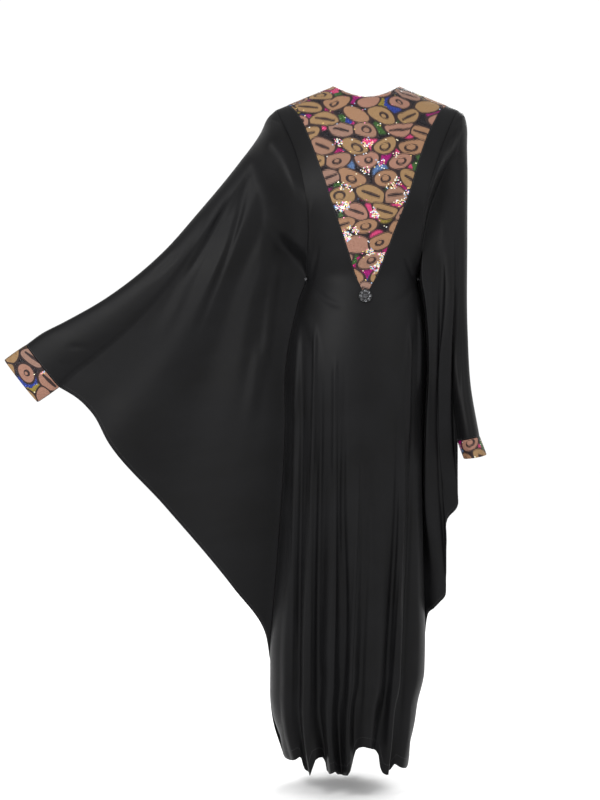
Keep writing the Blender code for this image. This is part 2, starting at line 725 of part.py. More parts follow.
def surface_frame(point, out):
    """A matrix at a point of the cloth, with its Z axis out of the cloth."""
    z_axis = out.normalized()
    x_axis = Vector((0, 0, 1)).cross(z_axis).normalized()
    y_axis = z_axis.cross(x_axis)
    turn = Matrix((x_axis, y_axis, z_axis)).transposed().to_4x4()
    return Matrix.Translation(point) @ turn


def add_setting(name, radius, thickness, place, collection):
    """A round low setting with a rounded edge, its flat back just above the cloth."""
    solid = bmesh.new()
    bmesh.ops.create_cone(
        solid,
        cap_ends=True,
        segments=SETTING_SIDES,
        radius1=radius,
        radius2=radius * SETTING_TAPER,
        depth=thickness,
        matrix=Matrix.Translation((0, 0, thickness / 2)),
    )
    bmesh.ops.transform(solid, matrix=place, verts=solid.verts)
    return add_object(name, solid, SILVER_SETTING, collection)


def add_stone(name, radius, place, finish, collection):
    """A faceted stone: a straight girdle under a tapered crown with a flat table."""
    solid = bmesh.new()
    bmesh.ops.create_cone(
        solid,
        cap_ends=True,
        segments=STONE_SIDES,
        radius1=radius,
        radius2=radius * CROWN_TAPER,
        depth=radius * STONE_HEIGHT,
        matrix=Matrix.Translation((0, 0, radius * STONE_HEIGHT / 2)),
    )
    bmesh.ops.transform(solid, matrix=place, verts=solid.verts)
    return add_object(name, solid, finish, collection)


def seat_on(cloth, point, out, radius):
    """A frame for a round disc that lies on the cloth at a point, clear of it by the seam gap."""
    lift = 0.0
    plane = surface_frame(point, out)
    for ring in (0.0, 0.5, 1.0):
        for i in range(SEAT_RAYS):
            angle = 2 * math.pi * i / SEAT_RAYS
            reach = ring * radius
            start = plane @ Vector((reach * math.cos(angle), reach * math.sin(angle), SEAT_REACH))
            hit = cloth.ray_cast(start, -out, 2 * SEAT_REACH)
            if hit[0] is not None:
                lift = max(lift, (hit[0] - point).dot(out))
    return surface_frame(point + out * (lift + SEAM_GAP), out)


def add_brooch(cloth, point, out, collection):
    """The round cluster of stones at the point of the V."""
    base = seat_on(cloth, point, out, BROOCH_RADIUS)
    add_setting("brooch_setting", BROOCH_RADIUS, BROOCH_THICKNESS, base, collection)
    level = Matrix.Translation((0, 0, BROOCH_THICKNESS + SEAM_GAP))
    add_stone("brooch_centre", BROOCH_CENTRE_RADIUS, base @ level, DARK_STONE, collection)
    for i in range(BROOCH_RING_STONES):
        turn = Matrix.Rotation(2 * math.pi * i / BROOCH_RING_STONES, 4, "Z")
        reach = Matrix.Translation((BROOCH_RING_RADIUS, 0, 0))
        place = base @ level @ turn @ reach
        add_stone(f"brooch_stone_{i + 1}", BROOCH_STONE_RADIUS, place, CLEAR_STONE, collection)


def add_waist_stone(cloth, name, side, collection):
    """A small stone in a setting where the waist is caught in."""
    row = TORSO[WAIST_ROW]
    sideways = side * math.cos(WAIST_STONE_ANGLE)
    forward = -math.sin(WAIST_STONE_ANGLE)
    out = Vector((sideways / row.half_width, forward / row.front, 0)).normalized()
    point = Vector((row.centre + row.half_width * sideways, row.front * forward, row.z))
    base = seat_on(cloth, point, out, WAIST_SETTING_RADIUS)
    add_setting(f"{name}_waist_setting", WAIST_SETTING_RADIUS, WAIST_SETTING_THICKNESS, base, collection)
    level = Matrix.Translation((0, 0, WAIST_SETTING_THICKNESS + SEAM_GAP))
    add_stone(f"{name}_waist_stone", WAIST_STONE_RADIUS, base @ level, CLEAR_STONE, collection)


def main():
    for old in list(bpy.data.objects):
        bpy.data.objects.remove(old, do_unlink=True)
    collection = bpy.data.collections.new("kaftan")
    bpy.context.scene.collection.children.link(collection)

    panels = [
        ("front", BLACK_JERSEY),
        ("yoke", SEQUIN_CLOTH),
        ("back", BLACK_JERSEY),
        ("right_wing", BLACK_JERSEY),
        ("right_cuff", SEQUIN_CLOTH),
        ("left_wing", BLACK_JERSEY),
        ("left_cuff", SEQUIN_CLOTH),
    ]
    skin = Skin()
    right_strip, left_strip, below = front_rows()
    v_point = right_strip[-1][-1]
    yoke = yoke_rows(v_point)
    back = back_rows()
    for grid in (right_strip, left_strip, below):
        skin.grid(grid, 0)
    skin.grid(yoke, 1)
    skin.grid(back, 2)
    for wing, panel in ((RIGHT_WING, 3), (LEFT_WING, 5)):
        layers = wing_layers(wing)
        add_wing(skin, wing, layers, panel, panel + 1)
        hold_cuff_corner(skin, wing, layers)
    hold_shoulder_seams(skin, (right_strip, left_strip, yoke, back))
    skin.finish()
    for panel, (name, finish) in enumerate(panels):
        add_object(name, cut_panel(skin, panel), finish, collection)

    cloth = BVHTree.FromBMesh(skin.mesh)
    tip = skin.vertex(v_point)
    add_brooch(cloth, tip.co.copy(), tip.normal.copy(), collection)
    add_waist_stone(cloth, "right", -1, collection)
    add_waist_stone(cloth, "left", 1, collection)
    skin.mesh.free()


main()
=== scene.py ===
"""A long black jersey kaftan with butterfly sleeves, a V-shaped sequin yoke and sequin cuffs.

Metres, +Z up. The front faces -Y and the wearer's left is +X. The cloth pieces stand for their CAD
nodes. Each one is a surface over two parameters, worked out with numpy from the same sections as its
node, with rounded folds, smaller creases and its own finish on top.
"""

import logging
import math
from abc import ABC, abstractmethod
from dataclasses import astuple, dataclass, field, fields
from enum import Enum
from typing import ClassVar, Sequence

import bpy
import numpy as np
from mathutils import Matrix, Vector

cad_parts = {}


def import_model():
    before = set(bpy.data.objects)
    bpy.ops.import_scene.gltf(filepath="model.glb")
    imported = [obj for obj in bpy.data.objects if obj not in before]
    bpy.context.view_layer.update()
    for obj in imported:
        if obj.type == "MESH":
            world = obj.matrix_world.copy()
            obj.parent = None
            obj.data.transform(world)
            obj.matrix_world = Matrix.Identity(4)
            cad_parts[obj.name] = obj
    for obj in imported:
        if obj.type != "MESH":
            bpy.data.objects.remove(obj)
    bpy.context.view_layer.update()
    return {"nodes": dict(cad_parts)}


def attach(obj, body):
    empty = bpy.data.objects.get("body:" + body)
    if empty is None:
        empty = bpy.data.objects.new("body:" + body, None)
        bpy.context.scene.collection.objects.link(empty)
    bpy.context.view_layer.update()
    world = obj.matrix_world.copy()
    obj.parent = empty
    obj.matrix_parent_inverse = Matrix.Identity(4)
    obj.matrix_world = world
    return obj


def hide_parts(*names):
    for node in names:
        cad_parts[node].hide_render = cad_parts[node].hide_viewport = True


log = logging.getLogger("kaftan")

Array = np.ndarray
Object = bpy.types.Object
Socket = bpy.types.NodeSocket
Station = tuple[float, float]
Place = tuple[float, float, float]
Colour = tuple[float, float, float]
FourNumbers = tuple[float, float, float, float]

CLOTH_THICKNESS = 0.0011
MERGE_DECIMALS = 5
NODE_DECIMALS = 6
SAME_PLACE = 1e-9
NO_LENGTH = 1e-14
LEAST_REACH = 1e-6


class Layer(Enum):
    """The front or the back of the garment, as the sign of y."""

    FRONT = -1
    BACK = 1

    @property
    def outward(self) -> Array:
        """The direction out of the garment."""
        return np.array([0.0, float(self.value), 0.0])


class Flank(Enum):
    """The wearer's right or left, as the sign of x."""

    RIGHT = -1
    LEFT = 1


class Mark(Enum):
    """What lies at the middle of an oval of the sequin pattern."""

    RING = 0
    SLIT = 1
    PLAIN = 2


# Curves and grids


def ease(value: Array | float) -> Array:
    """A smooth step: 0 below 0, 1 above 1, and t * t * (3 - 2 * t) between."""
    t = np.clip(value, 0.0, 1.0)
    return t * t * (3.0 - 2.0 * t)


def smooth_curve(knots: Sequence[float] | Array, values: Sequence | Array, at: Array) -> Array:
    """A cubic Hermite curve through values, whose slopes are the central differences at the knots.

    Args:
        knots: rising parameters, one for each value.
        values: what the curve passes through, of any shape behind the first axis.
        at: the parameters to read it at.

    Returns:
        The curve's values, with the shape of at in front.
    """
    knots = np.asarray(knots, float)
    values = np.asarray(values, float)
    slopes = np.gradient(values, knots, axis=0)
    at = np.asarray(at, float)
    i = np.clip(np.searchsorted(knots, at, side="right") - 1, 0, len(knots) - 2)
    step = knots[i + 1] - knots[i]
    shape = at.shape + (1,) * (values.ndim - 1)
    t = ((at - knots[i]) / step).reshape(shape)
    step = step.reshape(shape)
    first = (1 + 2 * t) * (1 - t) ** 2 * values[i] + t * (1 - t) ** 2 * step * slopes[i]
    second = t**2 * (3 - 2 * t) * values[i + 1] + t**2 * (t - 1) * step * slopes[i + 1]
    return first + second


def line_distance(x: Array, z: Array, line: Array) -> tuple[Array, Array]:
    """Distance of each point to a line of straight runs, in the x-z plane, and how far along it lies.

    The nearest point of each run is the projection onto it, clipped to its ends.

    Args:
        x: the points' x, on a grid.
        z: the points' z, on the same grid.
        line: the line's x and z, one row a station.

    Returns:
        The distance, and the share of the line's length before the nearest point.
    """
    start = line[:-1]
    run = line[1:] - start
    length = np.linalg.norm(run, axis=1)
    before = np.concatenate([[0.0], np.cumsum(length)])
    best = np.full(x.shape, np.inf)
    along = np.zeros(x.shape)
    for k in range(len(run)):
        dx = x - start[k, 0]
        dz = z - start[k, 1]
        share = np.clip((dx * run[k, 0] + dz * run[k, 1]) / max(length[k] ** 2, SAME_PLACE), 0, 1)
        gap = np.hypot(dx - share * run[k, 0], dz - share * run[k, 1])
        nearer = gap < best
        best = np.where(nearer, gap, best)
        along = np.where(nearer, (before[k] + share * length[k]) / before[-1], along)
    return best, along


def grid_normals(grid: Array, outward: Array) -> Array:
    """Unit normals of a grid: the cross product of its two central differences.

    Args:
        grid: rows by columns by 3.
        outward: a direction, or one for each point, that the normals should agree with.

    Returns:
        The normals, of the same shape as the grid.
    """
    normal = np.cross(np.gradient(grid, axis=0), np.gradient(grid, axis=1))
    length = np.linalg.norm(normal, axis=-1, keepdims=True)
    normal = np.where(length > NO_LENGTH, normal / np.maximum(length, NO_LENGTH), outward)
    sign = np.sign((normal * outward).sum(axis=-1, keepdims=True))
    return normal * np.where(sign == 0, 1.0, sign)


def grid_lengths(grid: Array, anchor: int) -> tuple[Array, Array]:
    """The cloth's own coordinates: the running length across each row and down each column.

    Args:
        grid: rows by columns by 3.
        anchor: the column that the length across is measured from.

    Returns:
        The length across from the anchor, and the length down from the first row.
    """
    across = np.zeros(grid.shape[:2])
    across[:, 1:] = np.cumsum(np.linalg.norm(np.diff(grid, axis=1), axis=-1), axis=1)
    across -= across[:, anchor][:, None]
    down = np.zeros(grid.shape[:2])
    down[1:] = np.cumsum(np.linalg.norm(np.diff(grid, axis=0), axis=-1), axis=0)
    return across, down


def taken(stack: Array, index: Array) -> Array:
    """The entry of a stack of grids that an index grid names at each point."""
    return np.take_along_axis(stack, index[None], axis=0)[0]


def unit(vectors: Array) -> Array:
    """The vectors at length 1."""
    return vectors / np.linalg.norm(vectors, axis=-1, keepdims=True)


def running_length(line: Array) -> Array:
    """The length along a line of points before each of them."""
    return np.concatenate([[0.0], np.cumsum(np.linalg.norm(np.diff(line, axis=0), axis=1))])


def read_line(table: Array, along: Array, at: Array) -> Array:
    """Each column of a table at running lengths, linear between its rows."""
    return np.stack([np.interp(at, along, column) for column in table.T], axis=1)


def inner_line(grid: Array, outward: Array, offset: float) -> tuple[Array, Array]:
    """The line on a grid that lies a set distance in from its first row.

    Args:
        grid: rows by columns by 3; the first row is the edge.
        outward: the direction out of the cloth.
        offset: the distance from the edge.

    Returns:
        The line's points and the cloth's normals there.
    """
    down = grid_lengths(grid, 0)[1]
    k = np.clip((down < offset).sum(axis=0) - 1, 0, len(grid) - 2)
    columns = np.arange(grid.shape[1])
    span = np.maximum(down[k + 1, columns] - down[k, columns], SAME_PLACE)
    share = np.clip((offset - down[k, columns]) / span, 0, 1)[:, None]
    normals = grid_normals(grid, outward)
    line = grid[k, columns] * (1 - share) + grid[k + 1, columns] * share
    facing = normals[k, columns] * (1 - share) + normals[k + 1, columns] * share
    return line, unit(facing)


@dataclass(frozen=True)
class Crease:
    """A soft trough (relief below 0) or ridge (above 0) along a line seen from the front.

    Its cross-section is a raised cosine of the given half width, and it fades in and out over fade,
    a share of its length at each end.
    """

    line: tuple[Station, ...]
    half_width: float
    relief: float
    layer: Layer = Layer.FRONT
    fade: float = 0.35
    samples_a_station: int = 6

    def raise_on(self, x: Array, z: Array) -> Array:
        """How far the crease moves each point of a grid out.

        Args:
            x: the points' x.
            z: the points' z.

        Returns:
            The move along the normal, in metres.
        """
        knots = np.linspace(0, 1, len(self.line))
        curve = smooth_curve(knots, self.line, np.linspace(0, 1, self.samples_a_station * len(self.line)))
        gap, along = line_distance(x, z, curve)
        bump = np.where(gap < self.half_width, 0.5 + 0.5 * np.cos(math.pi * gap / self.half_width), 0.0)
        ends = ease(along / self.fade) * ease((1 - along) / self.fade)
        return self.relief * bump * ends


@dataclass
class Patch:
    """A grid of points with the attributes of its cloth, ready to join others in one piece."""

    grid: Array
    outward: Array
    values: dict[str, Array]

    @property
    def size(self) -> int:
        """How many points the grid has."""
        return self.grid.shape[0] * self.grid.shape[1]

    def crease(self, creases: Sequence[Crease], layer: Layer, hold: Array) -> None:
        """Moves the points along their normals by the sum of the creases of one layer.

        Args:
            creases: every crease of the piece.
            layer: the layer that this patch belongs to.
            hold: 1 where the creases act in full and 0 where the points stay, such as at a seam.
        """
        x, _, z = np.moveaxis(self.grid, -1, 0)
        move = sum((one.raise_on(x, z) for one in creases if one.layer is layer), np.zeros(x.shape))
        self.grid = self.grid + grid_normals(self.grid, self.outward) * (move * hold)[..., None]

    def faces(self) -> Array:
        """The grid's quads, turned so that their normals agree with the outward direction.

        Returns:
            Four corners a row, as places in the flattened grid.
        """
        index = np.arange(self.size).reshape(self.grid.shape[:2])
        corners = (index[:-1, :-1], index[1:, :-1], index[1:, 1:], index[:-1, 1:])
        quads = np.stack(corners, axis=-1).reshape(-1, 4)
        at = self.grid.reshape(-1, 3)[quads]
        normal = np.cross(at[:, 2] - at[:, 0], at[:, 3] - at[:, 1])
        outward = np.broadcast_to(self.outward, self.grid.shape).reshape(-1, 3)[quads[:, 0]]
        return quads if (normal * outward).sum() >= 0 else quads[:, ::-1]


def patch_of(grid: Array, outward: Array, anchor: int = 0, across_shift: float = 0.0) -> Patch:
    """A patch whose UV map is the cloth's lengths from the anchor column, shifted across."""
    across, down = grid_lengths(grid, anchor)
    return Patch(grid, outward, {"uv": np.stack([across + across_shift, -down], axis=-1)})


def new_piece(name: str, points: Array, faces: Sequence, values: dict[str, Array]) -> Object:
    """A new object, linked to the scene, with what is known of each of its points.

    Args:
        name: the piece's name.
        points: one row a point.
        faces: the corners of each face.
        values: a number or a colour for each point, or as uv its place on the UV map.

    Returns:
        The object.
    """
    mesh = bpy.data.meshes.new(name)
    mesh.from_pydata(points, [], faces)
    mesh.validate()
    corners = np.empty(len(mesh.loops), np.int64)
    mesh.loops.foreach_get("vertex_index", corners)
    for key, value in values.items():
        value = value.reshape(len(points), -1).astype(np.float32)
        if key == "uv":
            mesh.uv_layers.new(name="cloth").data.foreach_set("uv", value[corners].ravel())
        elif value.shape[1] == 1:
            mesh.attributes.new(key, "FLOAT", "POINT").data.foreach_set("value", value.ravel())
        else:
            opaque = np.insert(value, 3, 1.0, axis=1)
            mesh.attributes.new(key, "FLOAT_COLOR", "POINT").data.foreach_set("color", opaque.ravel())
    mesh.update()
    piece = bpy.data.objects.new(name, mesh)
    bpy.context.scene.collection.objects.link(piece)
    return piece


def cloth_piece(name: str, patches: Sequence[Patch]) -> Object:
    """Joins patches to one piece of cloth, with a wall that grows inwards.

    Points closer than a hundredth of a millimetre become one: they are rounded to that step and
    found again as unique rows. Faces whose corners fall together lose those corners.

    Args:
        name: the piece's name.
        patches: its patches, which share the points of their common borders.

    Returns:
        The finished object.
    """
    starts = np.cumsum([0] + [patch.size for patch in patches])
    points = np.concatenate([patch.grid.reshape(-1, 3) for patch in patches])
    faces = np.concatenate([patch.faces() + start for patch, start in zip(patches, starts)])
    values = {
        key: np.concatenate([patch.values[key].reshape(patch.size, -1) for patch in patches])
        for key in patches[0].values
    }
    rounded = np.round(points, MERGE_DECIMALS)
    _, first, place = np.unique(rounded, axis=0, return_index=True, return_inverse=True)
    faces = place.reshape(-1)[faces]
    same = faces == np.roll(faces, -1, axis=1)
    whole = faces[~same.any(axis=1)]
    short = faces[same.sum(axis=1) == 1]
    triangles = short[short != np.roll(short, -1, axis=1)].reshape(-1, 3)
    proper = (triangles != np.roll(triangles, -1, axis=1)).all(axis=1)
    kept = whole.tolist() + triangles[proper].tolist()
    piece = new_piece(name, points[first], kept, {key: value[first] for key, value in values.items()})
    piece.data.shade_smooth()
    wall = piece.modifiers.new("wall", "SOLIDIFY")
    wall.thickness = CLOTH_THICKNESS
    wall.offset = -1.0
    wall.use_even_offset = False
    return piece


# Finishes


class Shader:
    """A small helper that builds one node material."""

    def __init__(self, name: str) -> None:
        """Starts a material with a Principled shader.

        Args:
            name: the material's name.
        """
        self.material = bpy.data.materials.new(name)
        self.material.use_nodes = True
        self.tree = self.material.node_tree
        self.surface = self.tree.nodes["Principled BSDF"]

    def feed(self, socket: Socket, value: Socket | float | Colour) -> None:
        """Links an input to an output, or sets its value.

        Args:
            socket: the input.
            value: an output, a number or a colour.
        """
        if isinstance(value, bpy.types.NodeSocket):
            self.tree.links.new(value, socket)
        else:
            socket.default_value = (*value, 1.0) if isinstance(value, tuple) else value

    def put(self, **values: Socket | float) -> None:
        """Feeds inputs of the Principled shader; an underscore in a name stands for a space."""
        for key, value in values.items():
            self.feed(self.surface.inputs[key.replace("_", " ")], value)

    def node(self, kind: str, inputs: dict, **settings: str) -> bpy.types.Node:
        """Adds a node.

        Args:
            kind: the node's type name.
            inputs: what its inputs are fed with, by their names or numbers.
            **settings: properties to set on it.

        Returns:
            The node.
        """
        made = self.tree.nodes.new(kind)
        for key, setting in settings.items():
            setattr(made, key, setting)
        for key, value in inputs.items():
            self.feed(made.inputs[key], value)
        return made

    def coordinates(self, output: str) -> Socket:
        """The piece's UV or Object coordinates."""
        return self.node("ShaderNodeTexCoord", {}).outputs[output]

    def attribute(self, name: str, output: str = "Fac") -> Socket:
        """An attribute of the piece."""
        return self.node("ShaderNodeAttribute", {}, attribute_name=name).outputs[output]

    def noise(self, vector: Socket, scale: float, detail: float) -> Socket:
        """A noise value on a vector."""
        inputs = {"Vector": vector, "Scale": scale, "Detail": detail}
        return self.node("ShaderNodeTexNoise", inputs).outputs["Fac"]

    def math(self, kind: str, first: Socket | float, second: Socket | float) -> Socket:
        """One arithmetic step on two values."""
        return self.node("ShaderNodeMath", {0: first, 1: second}, operation=kind).outputs["Value"]

    def mix(self, share: Socket, first: Socket | Colour, second: Socket | Colour) -> Socket:
        """A colour between two others, by share."""
        inputs = {"Factor": share, 6: first, 7: second}
        return self.node("ShaderNodeMix", inputs, data_type="RGBA").outputs[2]

    def range(self, value: Socket, low: float, high: float, to_low: float, to_high: float) -> Socket:
        """A value carried from one range to another, clipped at both ends."""
        inputs = {"Value": value, "From Min": low, "From Max": high, "To Min": to_low, "To Max": to_high}
        return self.node("ShaderNodeMapRange", inputs).outputs["Result"]

    def bands(self, vector: Socket, direction: str, pitch: float, distortion: float = 0.0) -> Socket:
        """Sine bands a pitch apart. The node's own stand tau / 20 apart, at a scale of 1.

        Args:
            vector: where the bands are read.
            direction: the axis that they cross.
            pitch: their distance.
            distortion: how much a noise bends them.

        Returns:
            The bands' value.
        """
        scale = math.tau / (20.0 * pitch)
        inputs = {"Vector": vector, "Scale": scale, "Distortion": distortion, "Detail": 1.0}
        return self.node("ShaderNodeTexWave", inputs, bands_direction=direction).outputs["Fac"]

    def ramp(self, value: Socket, *stops: tuple[float, Colour]) -> Socket:
        """A colour for each value, linear between two stops.

        Args:
            value: what the ramp reads.
            *stops: the position and colour of each stop.

        Returns:
            The colour.
        """
        made = self.node("ShaderNodeValToRGB", {"Fac": value})
        for element, (position, colour) in zip(made.color_ramp.elements, stops):
            element.position = position
            element.color = (*colour, 1.0)
        return made.outputs["Color"]

    def bump(self, height: Socket, strength: float, distance: float) -> None:
        """Puts a bump on the surface."""
        inputs = {"Height": height, "Strength": strength, "Distance": distance}
        self.put(Normal=self.node("ShaderNodeBump", inputs).outputs["Normal"])


class Finish(ABC):
    """How a piece looks: each piece is dressed in a material of its own."""

    @abstractmethod
    def dress(self, shader: Shader) -> None:
        """Builds the finish on a shader."""

    def put_on(self, piece: Object, name: str) -> None:
        """Dresses a piece in a new material.

        Args:
            piece: the piece.
            name: the material's name.
        """
        shader = Shader(name)
        self.dress(shader)
        piece.data.materials.append(shader.material)


@dataclass(frozen=True)
class JerseyFinish(Finish):
    """Black stretch jersey: fine knitted wales, a soft sheen and a slight mottling."""

    dark: Colour = (0.003, 0.0029, 0.0031)
    light: Colour = (0.005, 0.005, 0.0056)
    tones: Station = (0.35, 0.65)
    roughness: Station = (0.4, 0.51)
    sheen: float = 0.01
    specular: float = 0.1
    cloud_scale: float = 9.0
    grain_scale: float = 900.0
    grain_share: float = 0.3
    wale_pitch: float = 0.0009
    course_pitch: float = 0.0009 / 1.4
    wobble: float = 0.6
    course_depth: float = 0.6
    grain_depth: float = 0.8
    relief: Station = (0.25, 0.00018)

    def dress(self, shader: Shader) -> None:
        """Builds the finish on the piece's UV map, which is in metres.

        Args:
            shader: the shader of the piece's material.
        """
        metres = shader.coordinates("UV")
        cloud = shader.noise(metres, self.cloud_scale, 4.0)
        grain = shader.noise(metres, self.grain_scale, 2.0)
        soft = shader.math("MULTIPLY", cloud, 1 - self.grain_share)
        tone = shader.math("ADD", soft, shader.math("MULTIPLY", grain, self.grain_share))
        shader.put(
            Base_Color=shader.ramp(tone, *zip(self.tones, (self.dark, self.light))),
            Roughness=shader.range(cloud, 0.3, 0.7, *self.roughness),
            Sheen_Weight=self.sheen,
            Sheen_Roughness=0.35,
            Specular_IOR_Level=self.specular,
        )
        wale = shader.bands(metres, "X", self.wale_pitch, self.wobble)
        course = shader.math("MULTIPLY", shader.bands(metres, "Y", self.course_pitch), self.course_depth)
        rough = shader.math("MULTIPLY", grain, self.grain_depth)
        shader.bump(shader.math("ADD", shader.math("ADD", wale, course), rough), *self.relief)


@dataclass(frozen=True)
class OvalFinish(Finish):
    """The coloured pattern of the sequin cloth, read from what the piece says about its ovals.

    The attribute rim is the distance from an oval's middle in units of its size, and mark the
    distance from its inner ring or slit in the same units. tan holds the oval's own tone, and ground
    the colour between the ovals; on some sequins ground holds pale glitter colours that are partly
    painted highlights. On the sequins spark is a number of each sequin's own.
    """

    outline: Colour = (0.022, 0.012, 0.012)
    outline_start: Station = (0.85, 0.9)
    outline_end: Station = (1.04, 1.1)
    mark_edge: Station = (0.06, 0.1)
    glossy: bool = True
    net_roughness: float = 0.85
    sequin_roughness: float = 0.46
    spark_dip: Station = (0.1, 0.3)
    spark_metal: Station = (0.2, 0.8)
    ripple_scale: float = 700.0
    relief: Station = (0.12, 0.0002)

    def dress(self, shader: Shader) -> None:
        """Builds the finish: glossy for the sequins, matt for the net under them.

        Args:
            shader: the shader of the piece's material.
        """
        rim = shader.attribute("rim")
        inside = shader.range(rim, *self.outline_start, 1.0, 0.0)
        outside = shader.range(rim, *self.outline_end, 0.0, 1.0)
        line = shader.range(shader.attribute("mark"), *self.mark_edge, 0.0, 1.0)
        oval = shader.mix(line, self.outline, shader.attribute("tan", "Color"))
        edged = shader.mix(inside, self.outline, oval)
        # On the sequins, ground also holds the pale glitter colours that paint highlights.
        shader.put(Base_Color=shader.mix(outside, edged, shader.attribute("ground", "Color")))
        if not self.glossy:
            shader.put(Roughness=self.net_roughness, Specular_IOR_Level=0.25)
            return
        spark = shader.attribute("spark")
        dip = shader.math("MULTIPLY", outside, shader.range(spark, 0.0, 1.0, *self.spark_dip))
        shader.put(
            Roughness=shader.math("SUBTRACT", self.sequin_roughness, dip),
            Metallic=shader.math("MULTIPLY", outside, shader.range(spark, 0.5, 1.0, *self.spark_metal)),
            Specular_IOR_Level=0.14,
            Coat_Weight=0.05,
            Coat_Roughness=0.15,
        )
        shader.bump(shader.noise(shader.coordinates("Object"), self.ripple_scale, 2.0), *self.relief)


@dataclass(frozen=True)
class CloudedFinish(Finish):
    """One colour clouded by a lighter one: a noise on Object coordinates, read through a ramp."""

    dark: Colour
    light: Colour
    tones: Station
    scale: float
    detail: float = 2.0

    def dress(self, shader: Shader) -> None:
        """Clouds the colour and sets how the surface shines.

        Args:
            shader: the shader of the piece's material.
        """
        cloud = shader.noise(shader.coordinates("Object"), self.scale, self.detail)
        shader.put(Base_Color=shader.ramp(cloud, *zip(self.tones, (self.dark, self.light))))
        self.shine(shader, cloud)

    @abstractmethod
    def shine(self, shader: Shader, cloud: Socket) -> None:
        """Sets how the surface shines; cloud is the noise."""


@dataclass(frozen=True)
class StoneFinish(CloudedFinish):
    """A cut stone with a foiled back: hard, bright facets over a dark body colour, clouded with lighter
    specks that are painted glints.
    """

    tones: Station = (0.5, 0.66)
    scale: float = 420.0
    metallic: float = 0.3

    def shine(self, shader: Shader, cloud: Socket) -> None:
        """Hard and bright under a thin clear coat."""
        shader.put(Roughness=0.07, Metallic=self.metallic, Coat_Weight=0.5, Coat_Roughness=0.03, IOR=1.6)


@dataclass(frozen=True)
class MetalFinish(CloudedFinish):
    """A polished, slightly tarnished silver-coloured metal."""

    dark: Colour = (0.015, 0.015, 0.015)
    light: Colour = (0.06, 0.06, 0.062)
    tones: Station = (0.38, 0.58)
    scale: float = 300.0
    detail: float = 3.0
    roughness: Station = (0.42, 0.2)

    def shine(self, shader: Shader, cloud: Socket) -> None:
        """Smoother where it is bright."""
        shader.put(Roughness=shader.range(cloud, 0.3, 0.7, *self.roughness), Metallic=1.0)


@dataclass(frozen=True)
class ThreadFinish(CloudedFinish):
    """Twisted sewing thread, a shade lighter than the cloth."""

    dark: Colour = (0.02, 0.02, 0.022)
    light: Colour = (0.032, 0.032, 0.0352)
    tones: Station = (0.35, 0.65)
    scale: float = 1500.0

    def shine(self, shader: Shader, cloud: Socket) -> None:
        """Half matt, with a little sheen."""
        shader.put(Roughness=0.5, Sheen_Weight=0.15)


@dataclass(frozen=True)
class PaperFinish(CloudedFinish):
    """The pale, matt, slightly clouded paper of the floor."""

    dark: Colour = (0.97, 0.97, 0.97)
    light: Colour = (0.985, 0.985, 0.985)
    tones: Station = (0.3, 0.7)
    scale: float = 2.0
    detail: float = 3.0

    def shine(self, shader: Shader, cloud: Socket) -> None:
        """Matt."""
        shader.put(Roughness=0.9)


# The worn form of the garment


@dataclass(frozen=True)
class Fold:
    """A fold of the skirt: where its line crosses the waist, knee and hem, from -1 to 1, how far it
    stands out at the hem, and the height where it begins."""

    waist: float
    knee: float
    hem: float
    relief: float
    start_z: float


@dataclass(frozen=True)
class Section:
    """A level section of the body: its middle, half width, and depth at the front and back."""

    z: float
    centre: float
    half_width: float
    front: float
    back: float


@dataclass(frozen=True)
class Opening:
    """At a height of the torso, the x of both armholes and of both sides of the V."""

    z: float
    edge_right: float
    edge_left: float
    yoke_right: float
    yoke_left: float


def read_rows(rows: Sequence[Section | Opening], z: Array) -> dict[str, Array]:
    """The values of a table's rows at heights, on a smooth curve through them.

    Args:
        rows: the table, from the top down.
        z: heights.

    Returns:
        Each value of a row, by its name.
    """
    table = np.array([astuple(row) for row in rows])
    depths = -table[:, 0]
    read = smooth_curve(depths, table[:, 1:], np.clip(-z, depths[0], depths[-1]))
    return {part.name: read[..., k] for k, part in enumerate(fields(rows[0])[1:])}


def spread_rows(knots: Sequence[float], each: int) -> Array:
    """Heights between knots, evenly in each span but closer to the first knot in the first span.

    The first span is divided by squares, t * t, because the shoulder rounds off steeply there.

    Args:
        knots: falling heights.
        each: how many rows a span gets.

    Returns:
        The heights, the last knot included.
    """
    t = np.arange(each) / each
    spans = [a + (b - a) * (t**2 if k == 0 else t) for k, (a, b) in enumerate(zip(knots, knots[1:]))]
    return np.concatenate(spans + [np.array([knots[-1]])])


